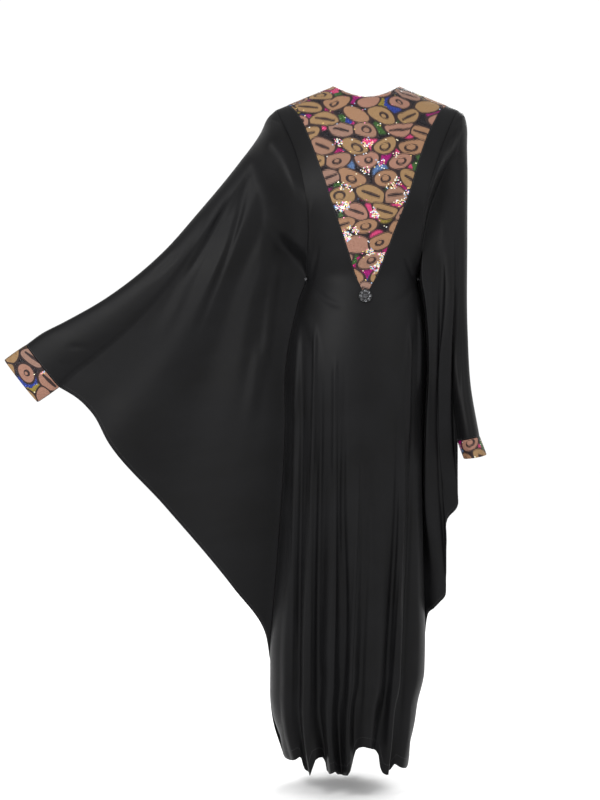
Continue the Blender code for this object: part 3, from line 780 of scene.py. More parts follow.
@dataclass(frozen=True)
class BodyForm:
    """The sections that carry the front, the back and the yoke."""

    neck_half_width: float = 0.072
    neck_point_z: float = 0.005
    neck_front: Station = (0.065, 0.033)
    neck_back: Station = (0.055, 0.009)
    shoulder_z: float = -0.043
    bust_z: float = -0.245
    waist_z: float = -0.404
    v_point_z: float = -0.445
    knee_z: float = -0.85
    hem_z: float = -1.42
    pinch: float = 0.0028
    right_end_z: float = -1.212
    left_end_z: float = -1.157
    v_point_fold: int = 7
    end_fade: float = 0.02
    shoulder_fade: float = 0.01
    waist_fade: float = 0.05
    sections: tuple[Section, ...] = (
        Section(-0.043, -0.002, 0.205, 0.118, 0.095), Section(-0.13, -0.002, 0.205, 0.118, 0.095),
        Section(-0.245, -0.002, 0.205, 0.118, 0.095), Section(-0.305, -0.005, 0.16, 0.113, 0.088),
        Section(-0.36, -0.008, 0.135, 0.103, 0.079), Section(-0.404, -0.009, 0.119, 0.095, 0.075),
        Section(-0.445, -0.0125, 0.1295, 0.099, 0.082), Section(-0.49, -0.0158, 0.1373, 0.106, 0.096),
        Section(-0.55, -0.0205, 0.1455, 0.112, 0.11), Section(-0.62, -0.024, 0.149, 0.114, 0.118),
        Section(-0.7, -0.0255, 0.1465, 0.112, 0.118), Section(-0.79, -0.028, 0.1468, 0.111, 0.116),
        Section(-0.88, -0.0305, 0.1495, 0.112, 0.115), Section(-0.975, -0.033, 0.154, 0.114, 0.116),
        Section(-1.065, -0.0355, 0.1585, 0.116, 0.118), Section(-1.157, -0.0383, 0.1637, 0.118, 0.12),
        Section(-1.18, -0.0392, 0.1644, 0.118, 0.12), Section(-1.212, -0.0398, 0.1643, 0.119, 0.121),
        Section(-1.235, -0.0403, 0.1638, 0.12, 0.122), Section(-1.3, -0.0468, 0.1568, 0.121, 0.123),
        Section(-1.36, -0.047, 0.149, 0.122, 0.124), Section(-1.42, -0.0445, 0.1335, 0.123, 0.125),
    )
    torso: tuple[Opening, ...] = (
        Opening(-0.043, -0.191, 0.194, -0.166, 0.172), Opening(-0.062, -0.184, 0.186, -0.152, 0.156),
        Opening(-0.09, -0.173, 0.174, -0.137, 0.141), Opening(-0.13, -0.157, 0.158, -0.121, 0.122),
        Opening(-0.185, -0.14, 0.138, -0.1, 0.101), Opening(-0.245, -0.128, 0.12, -0.077, 0.08),
        Opening(-0.305, -0.124, 0.114, -0.0565, 0.0553), Opening(-0.36, -0.127, 0.111, -0.038, 0.0345),
        Opening(-0.404, -0.128, 0.11, -0.0245, 0.0165), Opening(-0.445, -0.142, 0.117, -0.006, -0.006),
    )
    front_folds: tuple[Fold, ...] = (
        Fold(-0.93, -0.89, -0.84, 0.006, -0.55), Fold(-0.86, -0.8, -0.745, 0.011, -0.5),
        Fold(-0.79, -0.7, -0.63, -0.009, -0.6), Fold(-0.68, -0.58, -0.5, 0.014, -0.5),
        Fold(-0.52, -0.44, -0.34, -0.014, -0.6), Fold(-0.3, -0.27, -0.2, 0.013, -0.57),
        Fold(-0.15, -0.155, -0.08, -0.012, -0.62), Fold(0.05, 0.08, 0.02, 0.011, -0.78),
        Fold(0.17, 0.15, 0.13, -0.01, -0.8), Fold(0.38, 0.36, 0.33, 0.008, -0.8),
        Fold(0.62, 0.57, 0.49, -0.013, -0.72), Fold(0.73, 0.66, 0.58, 0.013, -0.68),
        Fold(0.89, 0.8, 0.68, -0.013, -0.64), Fold(0.955, 0.915, 0.83, 0.009, -0.66),
    )
    back_folds: tuple[Fold, ...] = (
        Fold(-0.9, -0.87, -0.84, 0.01, -0.62), Fold(-0.74, -0.7, -0.68, -0.011, -0.66),
        Fold(-0.56, -0.5, -0.47, 0.013, -0.64), Fold(-0.36, -0.31, -0.28, -0.012, -0.72),
        Fold(-0.15, -0.12, -0.1, 0.012, -0.7), Fold(0.06, 0.06, 0.09, -0.013, -0.74),
        Fold(0.28, 0.27, 0.25, 0.014, -0.68), Fold(0.5, 0.47, 0.43, -0.011, -0.72),
        Fold(0.68, 0.64, 0.6, 0.012, -0.66), Fold(0.83, 0.79, 0.76, -0.012, -0.68),
        Fold(0.95, 0.92, 0.89, 0.01, -0.62),
    )

    def folds(self, layer: Layer) -> tuple[Fold, ...]:
        """The folds of the front or the back."""
        return self.front_folds if layer is Layer.FRONT else self.back_folds

    def lanes(self, layer: Layer) -> int:
        """How many lanes between fold lines a layer has."""
        return len(self.folds(layer)) + 1

    def section(self, z: Array) -> dict[str, Array]:
        """The centre, half width, front and back of the sections at heights."""
        return read_rows(self.sections, z)

    def opening(self, z: Array) -> dict[str, Array]:
        """The x of both armholes and of both sides of the V at heights."""
        return read_rows(self.torso, z)

    def end_z(self, flank: Flank) -> float:
        """The height where a wing's lower edge meets the side seam."""
        return self.right_end_z if flank is Flank.RIGHT else self.left_end_z

    def row_heights(self, end: float, each: int) -> Array:
        """Row heights from the shoulder down to end, with each span between sections in so many rows."""
        knots = sorted({row.z for row in self.sections + self.torso}, reverse=True)
        return spread_rows([z for z in knots if z >= end - SAME_PLACE], each)

    def top_edge(self, x: Array, layer: Layer) -> tuple[Array, Array]:
        """y and z of the shoulder seam and of the neckline at x.

        The shoulder seam is straight. The neckline is a half ellipse seen from above and a parabola
        seen from the front.

        Args:
            x: places across.
            layer: front or back.

        Returns:
            y and z.
        """
        depth, drop = self.neck_front if layer is Layer.FRONT else self.neck_back
        tip = np.where(x > 0, self.torso[0].edge_left, -self.torso[0].edge_right)
        share = (np.abs(x) - self.neck_half_width) / (tip - self.neck_half_width)
        seam_z = self.neck_point_z + (self.shoulder_z - self.neck_point_z) * share
        inward = np.clip(1 - (x / self.neck_half_width) ** 2, 0, 1)
        outside = np.abs(x) >= self.neck_half_width
        y = np.where(outside, 0.0, layer.value * depth * np.sqrt(inward))
        return y, np.where(outside, seam_z, self.neck_point_z - drop * inward)

    def torso_points(self, x: Array, z: Array, layer: Layer) -> Array:
        """Points of the torso: an ellipse, drawn in to the shoulder seam as a quarter circle.

        Args:
            x: places across.
            z: heights, of the same shape.
            layer: front or back.

        Returns:
            The points.
        """
        s = self.section(z)
        across = np.clip(np.abs((x - s["centre"]) / s["half_width"]), 0, 1)
        depth = s[layer.name.lower()]
        y = layer.value * depth * np.sqrt(1 - across**2)
        top_y, top_z = self.top_edge(x, layer)
        climb = np.clip((z - self.bust_z) / (self.shoulder_z - self.bust_z), 0, 1)
        level = np.sqrt(1 - climb**2)
        above = z > self.bust_z
        y = np.where(above, top_y + (y - top_y) * level, y)
        height = np.where(above, self.bust_z + (top_z - self.bust_z) * climb, z)
        return np.stack([x, y, height], axis=-1)

    def skirt_points(self, lane: Array, z: Array, layer: Layer) -> Array:
        """Points of the skirt: an ellipse whose radius gains each fold's relief.

        lane runs from 0 at the right side seam over 1, 2 and so on at the fold lines. Between two
        lines the angle is linear and the relief goes over on a smooth step.

        Args:
            lane: places across, in lanes.
            z: heights, of the same shape.
            layer: front or back.

        Returns:
            The points.
        """
        folds = self.folds(layer)
        s = self.section(z)
        depth = s[layer.name.lower()]
        seam = np.arcsin(self.pinch / depth)
        heights = [-self.v_point_z, -self.knee_z, -self.hem_z]
        angles = [seam]
        reliefs = [np.zeros_like(z)]
        for fold in folds:
            place = np.interp(-z, heights, [fold.waist, fold.knee, fold.hem])
            angles.append(np.arccos(-place))
            reliefs.append(fold.relief * np.clip((fold.start_z - z) / (fold.start_z - self.hem_z), 0, 1))
        angles.append(math.pi - seam)
        reliefs.append(np.zeros_like(z))
        angles = np.stack(angles)
        reliefs = np.stack(reliefs)
        i = np.clip(lane.astype(int), 0, len(folds))
        t = lane - i
        angle = taken(angles, i) * (1 - t) + taken(angles, i + 1) * t
        relief = taken(reliefs, i) + (taken(reliefs, i + 1) - taken(reliefs, i)) * ease(t)
        out_x = -np.cos(angle) / s["half_width"]
        out_y = np.sin(angle) / depth
        length = np.hypot(out_x, out_y)
        x = s["centre"] - s["half_width"] * np.cos(angle) + relief * out_x / length
        y = layer.value * (depth * np.sin(angle) + relief * out_y / length)
        return np.stack([x, y, z], axis=-1)

    def lane_shares(self, layer: Layer) -> Array:
        """The share of the width at each lane line, at the waist."""
        places = np.array([-1.0] + [fold.waist for fold in self.folds(layer)] + [1.0])
        return (places + 1) / 2

    def torso_x(self, lane: Array, z: Array, layer: Layer, flank: Flank) -> Array:
        """x on the torso: spread evenly at the shoulder and by lanes at the waist.

        The back runs from armhole to armhole, and a strip of the front from an armhole to its side
        of the V.

        Args:
            lane: places across, in lanes.
            z: heights, of the same shape.
            layer: front or back.
            flank: which side of the V, on the front.

        Returns:
            x at each place.
        """
        edges = self.opening(z)
        shares = self.lane_shares(layer)
        first, last = 0, len(shares) - 1
        start, end = edges["edge_right"], edges["edge_left"]
        if layer is Layer.FRONT and flank is Flank.RIGHT:
            last, end = self.v_point_fold + 1, edges["yoke_right"]
        elif layer is Layer.FRONT:
            first, start = self.v_point_fold + 1, edges["yoke_left"]
        at_waist = np.interp(lane, np.arange(len(shares)), shares)
        by_lanes = (at_waist - shares[first]) / (shares[last] - shares[first])
        settle = ease((self.shoulder_z - z) / (self.shoulder_z - self.waist_z))
        share = (lane - first) / (last - first) * (1 - settle) + by_lanes * settle
        return start + (end - start) * share

    def points(self, lane: Array, z: Array, layer: Layer, flank: Flank) -> Array:
        """Points of the front's strip and skirt, or of the back, at lanes and heights.

        Down to the waist they lie on the torso, from the V's point on the skirt, and between on a
        smooth blend of both.

        Args:
            lane: places across, in lanes.
            z: heights, of the same shape.
            layer: front or back.
            flank: which side of the V, on the front.

        Returns:
            The points.
        """
        x = self.torso_x(lane, z, layer, flank)
        torso = self.torso_points(x, np.maximum(z, self.v_point_z), layer)
        skirt = self.skirt_points(lane, np.minimum(z, self.waist_z), layer)
        share = ease((self.waist_z - z) / (self.waist_z - self.v_point_z))[..., None]
        grid = torso * (1 - share) + skirt * share
        grid[..., 2] = np.where(z > self.bust_z, grid[..., 2], z)
        return grid

    def edge(self, z: Array, layer: Layer, flank: Flank) -> Array:
        """The points where the front or back meets a wing or the other layer, down one side."""
        lane = np.zeros_like(z) if flank is Flank.RIGHT else np.full_like(z, self.lanes(layer))
        return self.part_edges(self.points(lane, z, layer, flank), z, layer, flank)

    def part_edges(self, column: Array, z: Array, layer: Layer, flank: Flank) -> Array:
        """Keeps an edge column at least the pinch from the middle while a wing is sewn between.

        Args:
            column: the edge's points.
            z: their heights.
            layer: front or back.
            flank: which side.

        Returns:
            The points with their y set.
        """
        sewn = self.pinch * (1 - ease((self.end_z(flank) + self.end_fade - z) / self.end_fade))
        sewn = sewn * ease((self.shoulder_z - z) / self.shoulder_fade)
        below = ease((self.waist_z + self.waist_fade - z) / self.waist_fade)
        column = column.copy()
        depth = np.maximum(np.abs(column[..., 1]), sewn) * (1 - below) + sewn * below
        column[..., 1] = layer.value * depth
        return column


def evened(grid: Array, hold: Array) -> Array:
    """Evens out the bend below the corners of the neck, with a running mean across.

    The mean takes in 21 of 161 even places, and acts in full from 20 mm in from both ends.

    Args:
        grid: rows by columns by 3, with x growing or falling along each row.
        hold: how much of the mean each row takes.

    Returns:
        The grid with its y and z evened.
    """
    window, places, margin = 21, 161, 0.02
    weights = np.hanning(window + 2)[1:-1]
    weights /= weights.sum()
    result = grid.copy()
    for k in np.flatnonzero(hold > 0):
        row = grid[k]
        x = row[:, 0]
        even = np.linspace(x[0], x[-1], places)
        share = hold[k] * ease(np.minimum(x - x[0], x[-1] - x) / margin)
        for axis in (1, 2):
            line = np.pad(np.interp(even, x, row[:, axis]), window // 2, mode="reflect", reflect_type="odd")
            mean = np.interp(x, even, np.convolve(line, weights, mode="valid"))
            result[k, :, axis] += (mean - row[:, axis]) * share
    return result


@dataclass(frozen=True)
class HemLine:
    """How far the lower edge is lifted at places across, as the cloth is caught up in its folds."""

    stations: tuple[Station, ...]
    top_z: float = -1.23

    def lift(self, x: Array, z: Array, hem_z: float) -> Array:
        """The lift at each point: linear between the stations, growing smoothly down to the hem."""
        places, heights = zip(*self.stations)
        return np.interp(x, places, heights) * ease((self.top_z - z) / (self.top_z - hem_z))


@dataclass
class BodyPanel:
    """The black front or back, from the shoulder seams to the hem."""

    form: BodyForm
    layer: Layer
    creases: tuple[Crease, ...]
    hem_line: HemLine
    cut: Station
    cut_area: float
    columns_a_lane: int = 10
    rows_a_span: int = 9
    uncreased_lanes: float = 0.8
    uncreased_top: float = 0.03
    evened_rows: int = 6
    evened_fade: float = 0.06
    hem_stitch: float = 0.02
    yoke_stitch: float = 0.0022

    def surface(self, first: int, last: int, flank: Flank) -> Patch:
        """One stretch of the panel, with its creases, hem and seams.

        Args:
            first: the lane line where it starts.
            last: the lane line where it ends.
            flank: which side of the V, on the front.

        Returns:
            The patch.
        """
        form = self.form
        lanes = np.linspace(first, last, (last - first) * self.columns_a_lane + 1)
        heights = form.row_heights(form.hem_z, self.rows_a_span)
        z = np.repeat(heights[:, None], len(lanes), axis=1)
        lane = np.repeat(lanes[None], len(heights), axis=0)
        grid = form.points(lane, z, self.layer, flank)
        if first == 0:
            grid[:, 0] = form.part_edges(grid[:, 0], heights, self.layer, Flank.RIGHT)
        if last == form.lanes(self.layer):
            grid[:, -1] = form.part_edges(grid[:, -1], heights, self.layer, Flank.LEFT)
        if self.layer is Layer.BACK:
            rows = ease(np.arange(len(heights)) / self.evened_rows)
            grid = evened(grid, rows * ease((heights - form.bust_z) / self.evened_fade))
        anchor = len(lanes) - 1 if last < form.lanes(self.layer) else 0
        patch = patch_of(grid, self.layer.outward, anchor)
        hold = ease(np.minimum(lane, form.lanes(self.layer) - lane) / self.uncreased_lanes)
        patch.crease(self.creases, self.layer, hold * ease((form.shoulder_z - z) / self.uncreased_top))
        patch.grid[..., 2] += self.hem_line.lift(patch.grid[..., 0], z, form.hem_z)
        return patch

    def stretches(self) -> list[Patch]:
        """The front in two halves that meet below the point of the V, the back in one.

        Returns:
            The patches, from the right to the left.
        """
        last = self.form.lanes(self.layer)
        if self.layer is Layer.BACK:
            return [self.surface(0, last, Flank.RIGHT)]
        middle = self.form.v_point_fold + 1
        return [self.surface(0, middle, Flank.RIGHT), self.surface(middle, last, Flank.LEFT)]

    def build(self, stretches: Sequence[Patch], finish: Finish) -> Object:
        """Makes the panel.

        Args:
            stretches: its patches.
            finish: what it is dressed in.

        Returns:
            The object.
        """
        side = self.layer.name.lower()
        cloth = cloth_piece(side + "_panel", stretches)
        finish.put_on(cloth, side + "_jersey")
        return cloth

    def stitch_lines(self, stretches: Sequence[Patch]) -> list[tuple[Array, Array]]:
        """Where the panel is stitched: along its hem, and the front along the sides of the V too.

        Args:
            stretches: its patches.

        Returns:
            Points and normals of each line.
        """
        out = self.layer.outward
        lines = [inner_line(patch.grid[::-1], out, self.hem_stitch) for patch in stretches]
        if self.layer is Layer.FRONT:
            rows = len(self.form.row_heights(self.form.v_point_z, self.rows_a_span)) - 2
            right, left = (patch.grid[:rows].swapaxes(0, 1) for patch in stretches)
            lines += [inner_line(side, out, self.yoke_stitch) for side in (right[::-1], left)]
        return lines


@dataclass
class OvalPattern:
    """The sequin cloth's design: tilted ovals in staggered rows, each with a ring or slit inside.

    All of it is laid out from seeded numbers, in the cloth's own metres. The ground between the
    ovals is black with patches of colour. Over it on the sequins lie clusters of pale glitter colours,
    partly pale metallic sequins and partly painted highlights.
    """

    pitch: Station = (0.06, 0.0335)
    jitter: Station = (0.007, 0.0035)
    half_length: Station = (0.0245, 0.036)
    half_width: Station = (0.015, 0.02)
    tilt: float = 0.55
    bend: float = 0.42
    reach: float = 0.046
    ring_size: Station = (0.22, 0.4)
    ring_shift: float = 0.18
    ring_rise: float = 0.05
    ring_weight: float = 0.55
    slit_reach: float = 0.25
    slit_sag: Station = (0.9, 0.12)
    slit_taper: Station = (0.4, 0.35)
    parting: Station = (0.99, 0.9)
    mark_shares: tuple[float, ...] = (0.52, 0.34, 0.14)
    extent: FourNumbers = (-0.24, 0.24, -0.03, 0.52)
    patches: int = 240
    patch_radius: Station = (0.01, 0.022)
    patch_core: float = 0.75
    patch_fade: float = 0.35
    seed: int = 12
    # Clusters of pale glitter colours on the sequins: partly pale metallic sequins, partly painted
    # highlights, denser low in the V.
    glitter_highlight_clusters: int = 110
    glitter_highlight_radius: Station = (0.008, 0.018)
    glitter_highlight_start: float = 0.22
    glitter_highlight_fade: float = 0.05
    glitter_highlight_share: tuple[float, ...] = (0.008, 0.3, 0.8)
    glitter_highlight_rim: float = 0.66
    tans: tuple[Colour, ...] = (
        (0.215, 0.118, 0.08), (0.235, 0.128, 0.072), (0.21, 0.122, 0.092), (0.245, 0.126, 0.09),
        (0.225, 0.136, 0.064),
    )
    inks: tuple[Colour, ...] = (
        (0.21, 0.006, 0.1), (0.42, 0.04, 0.12), (0.02, 0.035, 0.18), (0.06, 0.11, 0.22),
        (0.03, 0.075, 0.02), (0.2, 0.15, 0.03), (0.26, 0.008, 0.09),
    )
    # Pale glitter colours: partly the sequins' own tint, partly painted highlights.
    glitter_highlight_colours: tuple[Colour, ...] = (
        (0.66, 0.6, 0.42), (0.56, 0.4, 0.14), (0.6, 0.18, 0.3), (0.28, 0.4, 0.55), (0.72, 0.72, 0.7),
    )
    black: Colour = (0.01, 0.008, 0.01)

    def __post_init__(self) -> None:
        """Lays out the ovals, the coloured patches and the clusters of pale glitter colours that also paint
        highlights.
        """
        rng = np.random.default_rng(self.seed)
        low_u, high_u, low_v, high_v = self.extent
        step_u, step_v = self.pitch
        u, v = np.meshgrid(np.arange(low_u, high_u, step_u), np.arange(low_v, high_v, step_v))
        u = u + (np.arange(len(u)) % 2)[:, None] * step_u / 2
        count = u.size
        self.u = u.ravel() + rng.uniform(-self.jitter[0], self.jitter[0], count)
        self.v = v.ravel() + rng.uniform(-self.jitter[1], self.jitter[1], count)
        self.a = rng.uniform(*self.half_length, count)
        self.b = rng.uniform(*self.half_width, count)
        self.turn = rng.uniform(-self.tilt, self.tilt, count)
        self.curve = rng.uniform(-self.bend, self.bend, count)
        self.ring = rng.uniform(*self.ring_size, count)
        self.off = rng.uniform(-self.ring_shift, self.ring_shift, count)
        self.marks = rng.choice([mark.value for mark in Mark], count, p=self.mark_shares)
        self.tone = np.array(self.tans)[rng.integers(0, len(self.tans), count)]
        self.patch_u = rng.uniform(low_u, high_u, self.patches)
        self.patch_v = rng.uniform(low_v, high_v, self.patches)
        self.patch_r = rng.uniform(*self.patch_radius, self.patches)
        self.patch_ink = np.array(self.inks)[rng.integers(0, len(self.inks), self.patches)]
        self.glitter_highlight_u = rng.uniform(low_u, high_u, self.glitter_highlight_clusters)
        self.glitter_highlight_v = low_v + (high_v - low_v) * np.sqrt(rng.uniform(0, 1, self.glitter_highlight_clusters))
        self.glitter_highlight_r = rng.uniform(*self.glitter_highlight_radius, self.glitter_highlight_clusters)

    def scatter(self, rng: np.random.Generator, u: Array, v: Array) -> tuple[Array, Array]:
        """Pale glitter colours that also paint highlights, strewn in clusters, denser low in the V.

        Args:
            rng: where the chances come from.
            u: places across, in metres.
            v: places down, in metres.

        Returns:
            Whether each place holds a pale glitter colour that paints a highlight, and that colour.
        """
        reach = np.hypot(u - self.glitter_highlight_u[:, None], v - self.glitter_highlight_v[:, None]) / self.glitter_highlight_r[:, None]
        cluster = (1 - ease((reach - 0.5) / 0.5)).max(axis=0)
        single, few, many = self.glitter_highlight_share
        share = single + cluster * (few + (many - few) * ease((v - self.glitter_highlight_start) / self.glitter_highlight_fade))
        glitter_highlight = np.array(self.glitter_highlight_colours)[rng.integers(0, len(self.glitter_highlight_colours), len(v))]
        return rng.uniform(0, 1, len(v)) < share, glitter_highlight

    def mark_distance(self, k: int, along: Array, over: Array) -> Array:
        """The distance from an oval's ring or slit, in units of the oval's size.

        A ring is a smaller ellipse, heavier on one side. A slit is a short run along the oval's
        middle that sags with the bend and tapers towards its ends.

        Args:
            k: which oval.
            along: places along its long axis, in metres.
            over: places across it.

        Returns:
            The distances.
        """
        a, b, ring, bend = self.a[k], self.b[k], self.ring[k], self.curve[k]
        if self.marks[k] == Mark.RING.value:
            ring_b = (ring + self.ring_rise) * b
            inner = np.hypot((along - self.off[k] * a) / (ring * a), over / ring_b)
            heavy = 1 + self.ring_weight * np.clip(over / ring_b, -1, 1) * np.sign(bend)
            return np.abs(inner - 1) * ring / heavy
        if self.marks[k] == Mark.SLIT.value:
            past = np.clip(np.abs(along) - (self.slit_reach + ring) * a, 0, None)
            sag, level = self.slit_sag
            run = sag * bend * (along**2 / a - level * a)
            thick, thin = self.slit_taper
            return np.hypot(past, over - run) / b * (thick + thin * np.abs(along) / a)
        return np.full(along.shape, 1.0)

    def ground(self, u: Array, v: Array) -> Array:
        """The colour between the ovals: black with round patches of colour that fade at their rims.

        Args:
            u: places across, in metres.
            v: places down, in metres.

        Returns:
            The colour of the patch that covers each place most.
        """
        black = np.array(self.black)
        ground = np.tile(black, (*u.shape, 1))
        share = np.zeros((*u.shape, 1))
        for k in range(self.patches):
            reach = np.hypot(u - self.patch_u[k], v - self.patch_v[k]) / self.patch_r[k]
            here = (1 - ease((reach - self.patch_core) / self.patch_fade))[..., None]
            ground = np.where(here > share, black * (1 - here) + self.patch_ink[k] * here, ground)
            share = np.maximum(share, here)
        return ground

    def read(self, u: Array, v: Array) -> dict[str, Array]:
        """What the pattern says at places of the cloth.

        rim is the smallest elliptic distance to an oval: the root of (along / a) squared plus
        (over / b) squared, in the oval's own turned and slightly bent axes. Where two ovals are
        equally near it rises to 1, so that an outline parts them.

        Args:
            u: places across, in metres.
            v: places down, in metres.

        Returns:
            rim, mark, tan and ground for each place.
        """
        far = 9.0
        edge, slope = self.parting
        rim = np.full(u.shape, far)
        second = np.full(u.shape, far)
        mark = np.full(u.shape, 1.0)
        tan = np.tile(np.array(self.tans[0]), (*u.shape, 1))
        for k in range(len(self.u)):
            near = (np.abs(u - self.u[k]) < self.reach) & (np.abs(v - self.v[k]) < self.reach)
            if not near.any():
                continue
            du = u[near] - self.u[k]
            dv = v[near] - self.v[k]
            c, s = math.cos(self.turn[k]), math.sin(self.turn[k])
            along = du * c + dv * s
            over = dv * c - du * s + self.curve[k] * along**2 / self.a[k]
            rho = np.hypot(along / self.a[k], over / self.b[k])
            closer = rho < rim[near]
            second[near] = np.where(closer, rim[near], np.minimum(second[near], rho))
            rim[near] = np.where(closer, rho, rim[near])
            mark[near] = np.where(closer, self.mark_distance(k, along, over), mark[near])
            tan[near] = np.where(closer[:, None], self.tone[k], tan[near])
        rim = np.maximum(rim, edge - (second - rim) * slope)
        return {"rim": rim, "mark": mark, "tan": tan, "ground": self.ground(u, v)}


@dataclass
class SequinCover:
    """Small cupped sequins sewn in staggered rows over a net, like scales."""

    pattern: OvalPattern
    shift: Station = (0.0, 0.0)
    radius: float = 0.00165
    pitch: float = 0.0025
    row_pitch: float = 0.0021
    end_margin: float = 0.8
    lift: float = 0.0005
    cup: float = 0.00022
    lean: float = 0.13
    unevenness: float = 0.09
    sides: int = 6
    seed: int = 5

    def lay_out(self, grid: Array, outward: Array, spot: Array) -> Array:
        """Where the sequins sit: a pitch apart by running length, each second row half a pitch on.

        Args:
            grid: the cloth's points, rows by columns by 3.
            outward: the direction out of the cloth.
            spot: the pattern's coordinates at the same points.

        Returns:
            One row a sequin: its middle, the cloth's normal, the run of the row, and u and v.
        """
        table = np.concatenate([grid, grid_normals(grid, outward), spot], axis=-1)
        down = running_length(grid[:, grid.shape[1] // 2])
        found = []
        for k, level in enumerate(np.arange(self.row_pitch, down[-1] - self.radius, self.row_pitch)):
            row = np.interp(level, down, np.arange(len(down)))
            i = min(int(row), len(down) - 2)
            line = table[i] * (i + 1 - row) + table[i + 1] * (row - i)
            along = running_length(line[:, :3])
            start = self.radius + (k % 2) * self.pitch / 2
            at = np.arange(start, along[-1] - self.radius * self.end_margin, self.pitch)
            here = read_line(line, along, at)
            ahead = read_line(line[:, :3], along, at + self.radius / 2)
            found.append(np.concatenate([here[:, :6], ahead - here[:, :3], here[:, 6:]], axis=1))
        return np.concatenate(found)

    def sequins(self, name: str, table: Array) -> Object:
        """Makes all the sequins of a piece as one mesh.

        Each sequin is a fan of triangles round a raised middle. Its plane follows the cloth's
        normal, leans down the cloth and is tilted a little at random.

        Args:
            name: the piece's name.
            table: one row a sequin, from lay_out.

        Returns:
            The object.
        """
        rng = np.random.default_rng(self.seed)
        centre, out, run, spot = np.split(table, (3, 6, 9), axis=1)
        count = len(table)
        normal = unit(out)
        tangent = unit(run - normal * (run * normal).sum(axis=1, keepdims=True))
        down = np.cross(tangent, normal)
        down *= np.where(down[:, 2:3] > 0, -1.0, 1.0)
        tilt = rng.normal(0.0, self.unevenness, (count, 2))
        normal = unit(normal + down * (self.lean + tilt[:, :1]) + tangent * tilt[:, 1:])
        tangent = unit(tangent - normal * (tangent * normal).sum(axis=1, keepdims=True))
        down = np.cross(normal, tangent)
        angle = math.tau * np.arange(self.sides) / self.sides + rng.uniform(0, math.tau, (count, 1))
        rim_u = np.cos(angle) * self.radius
        rim_v = np.sin(angle) * self.radius
        rim = centre[:, None] + tangent[:, None] * rim_u[..., None] + down[:, None] * rim_v[..., None]
        rim += normal[:, None] * (self.lift - self.cup)
        middle = centre + normal * (self.lift + self.cup)
        points = np.concatenate([middle[:, None], rim], axis=1).reshape(-1, 3)
        corners = self.sides + 1
        ring = np.arange(self.sides)
        fan = np.stack([0 * ring, 1 + ring, 1 + (ring + 1) % self.sides], axis=1)
        faces = (np.arange(count)[:, None, None] * corners + fan[None]).reshape(-1, 3)
        u = np.concatenate([spot[:, :1], spot[:, :1] + rim_u], axis=1).ravel()
        v = np.concatenate([spot[:, 1:], spot[:, 1:] + rim_v], axis=1).ravel()
        values = self.pattern.read(u, v)
        # Some sequins take a pale glitter colour in place of their ground: partly pale metallic sequins,
        # partly painted highlights. Their rim is set to 2, so that colour covers the whole sequin.
        glitter_highlight_mask, glitter_highlight = self.pattern.scatter(rng, spot[:, 0], spot[:, 1])
        glitter_highlight_mask &= values["rim"][::corners] > self.pattern.glitter_highlight_rim
        ground = np.where(glitter_highlight_mask[:, None], glitter_highlight, values["ground"][::corners])
        values["ground"] = np.repeat(ground, corners, axis=0)
        values["rim"] = np.where(np.repeat(glitter_highlight_mask, corners), 2.0, values["rim"])
        values["spark"] = np.repeat(rng.uniform(0, 1, count), corners)
        piece = new_piece(name, points, faces.tolist(), values)
        OvalFinish().put_on(piece, name)
        return piece

    def build(self, name: str, grid: Array, outward: Array, places: Array) -> tuple[Object, Object]:
        """Makes a piece of sequin cloth.

        Args:
            name: the first part of the pieces' names.
            grid: the cloth's points, rows by columns by 3.
            outward: the direction out of the cloth.
            places: the places across and down of the same points on the cloth, in metres.

        Returns:
            The net and the sequins on it.
        """
        spot = places + self.shift
        values = self.pattern.read(spot[..., 0], spot[..., 1])
        values["uv"] = places * (1, -1)
        net = cloth_piece(name + "_net", [Patch(grid, outward, values)])
        OvalFinish(glossy=False).put_on(net, name + "_net")
        return net, self.sequins(name + "_sequins", self.lay_out(grid, outward, spot))


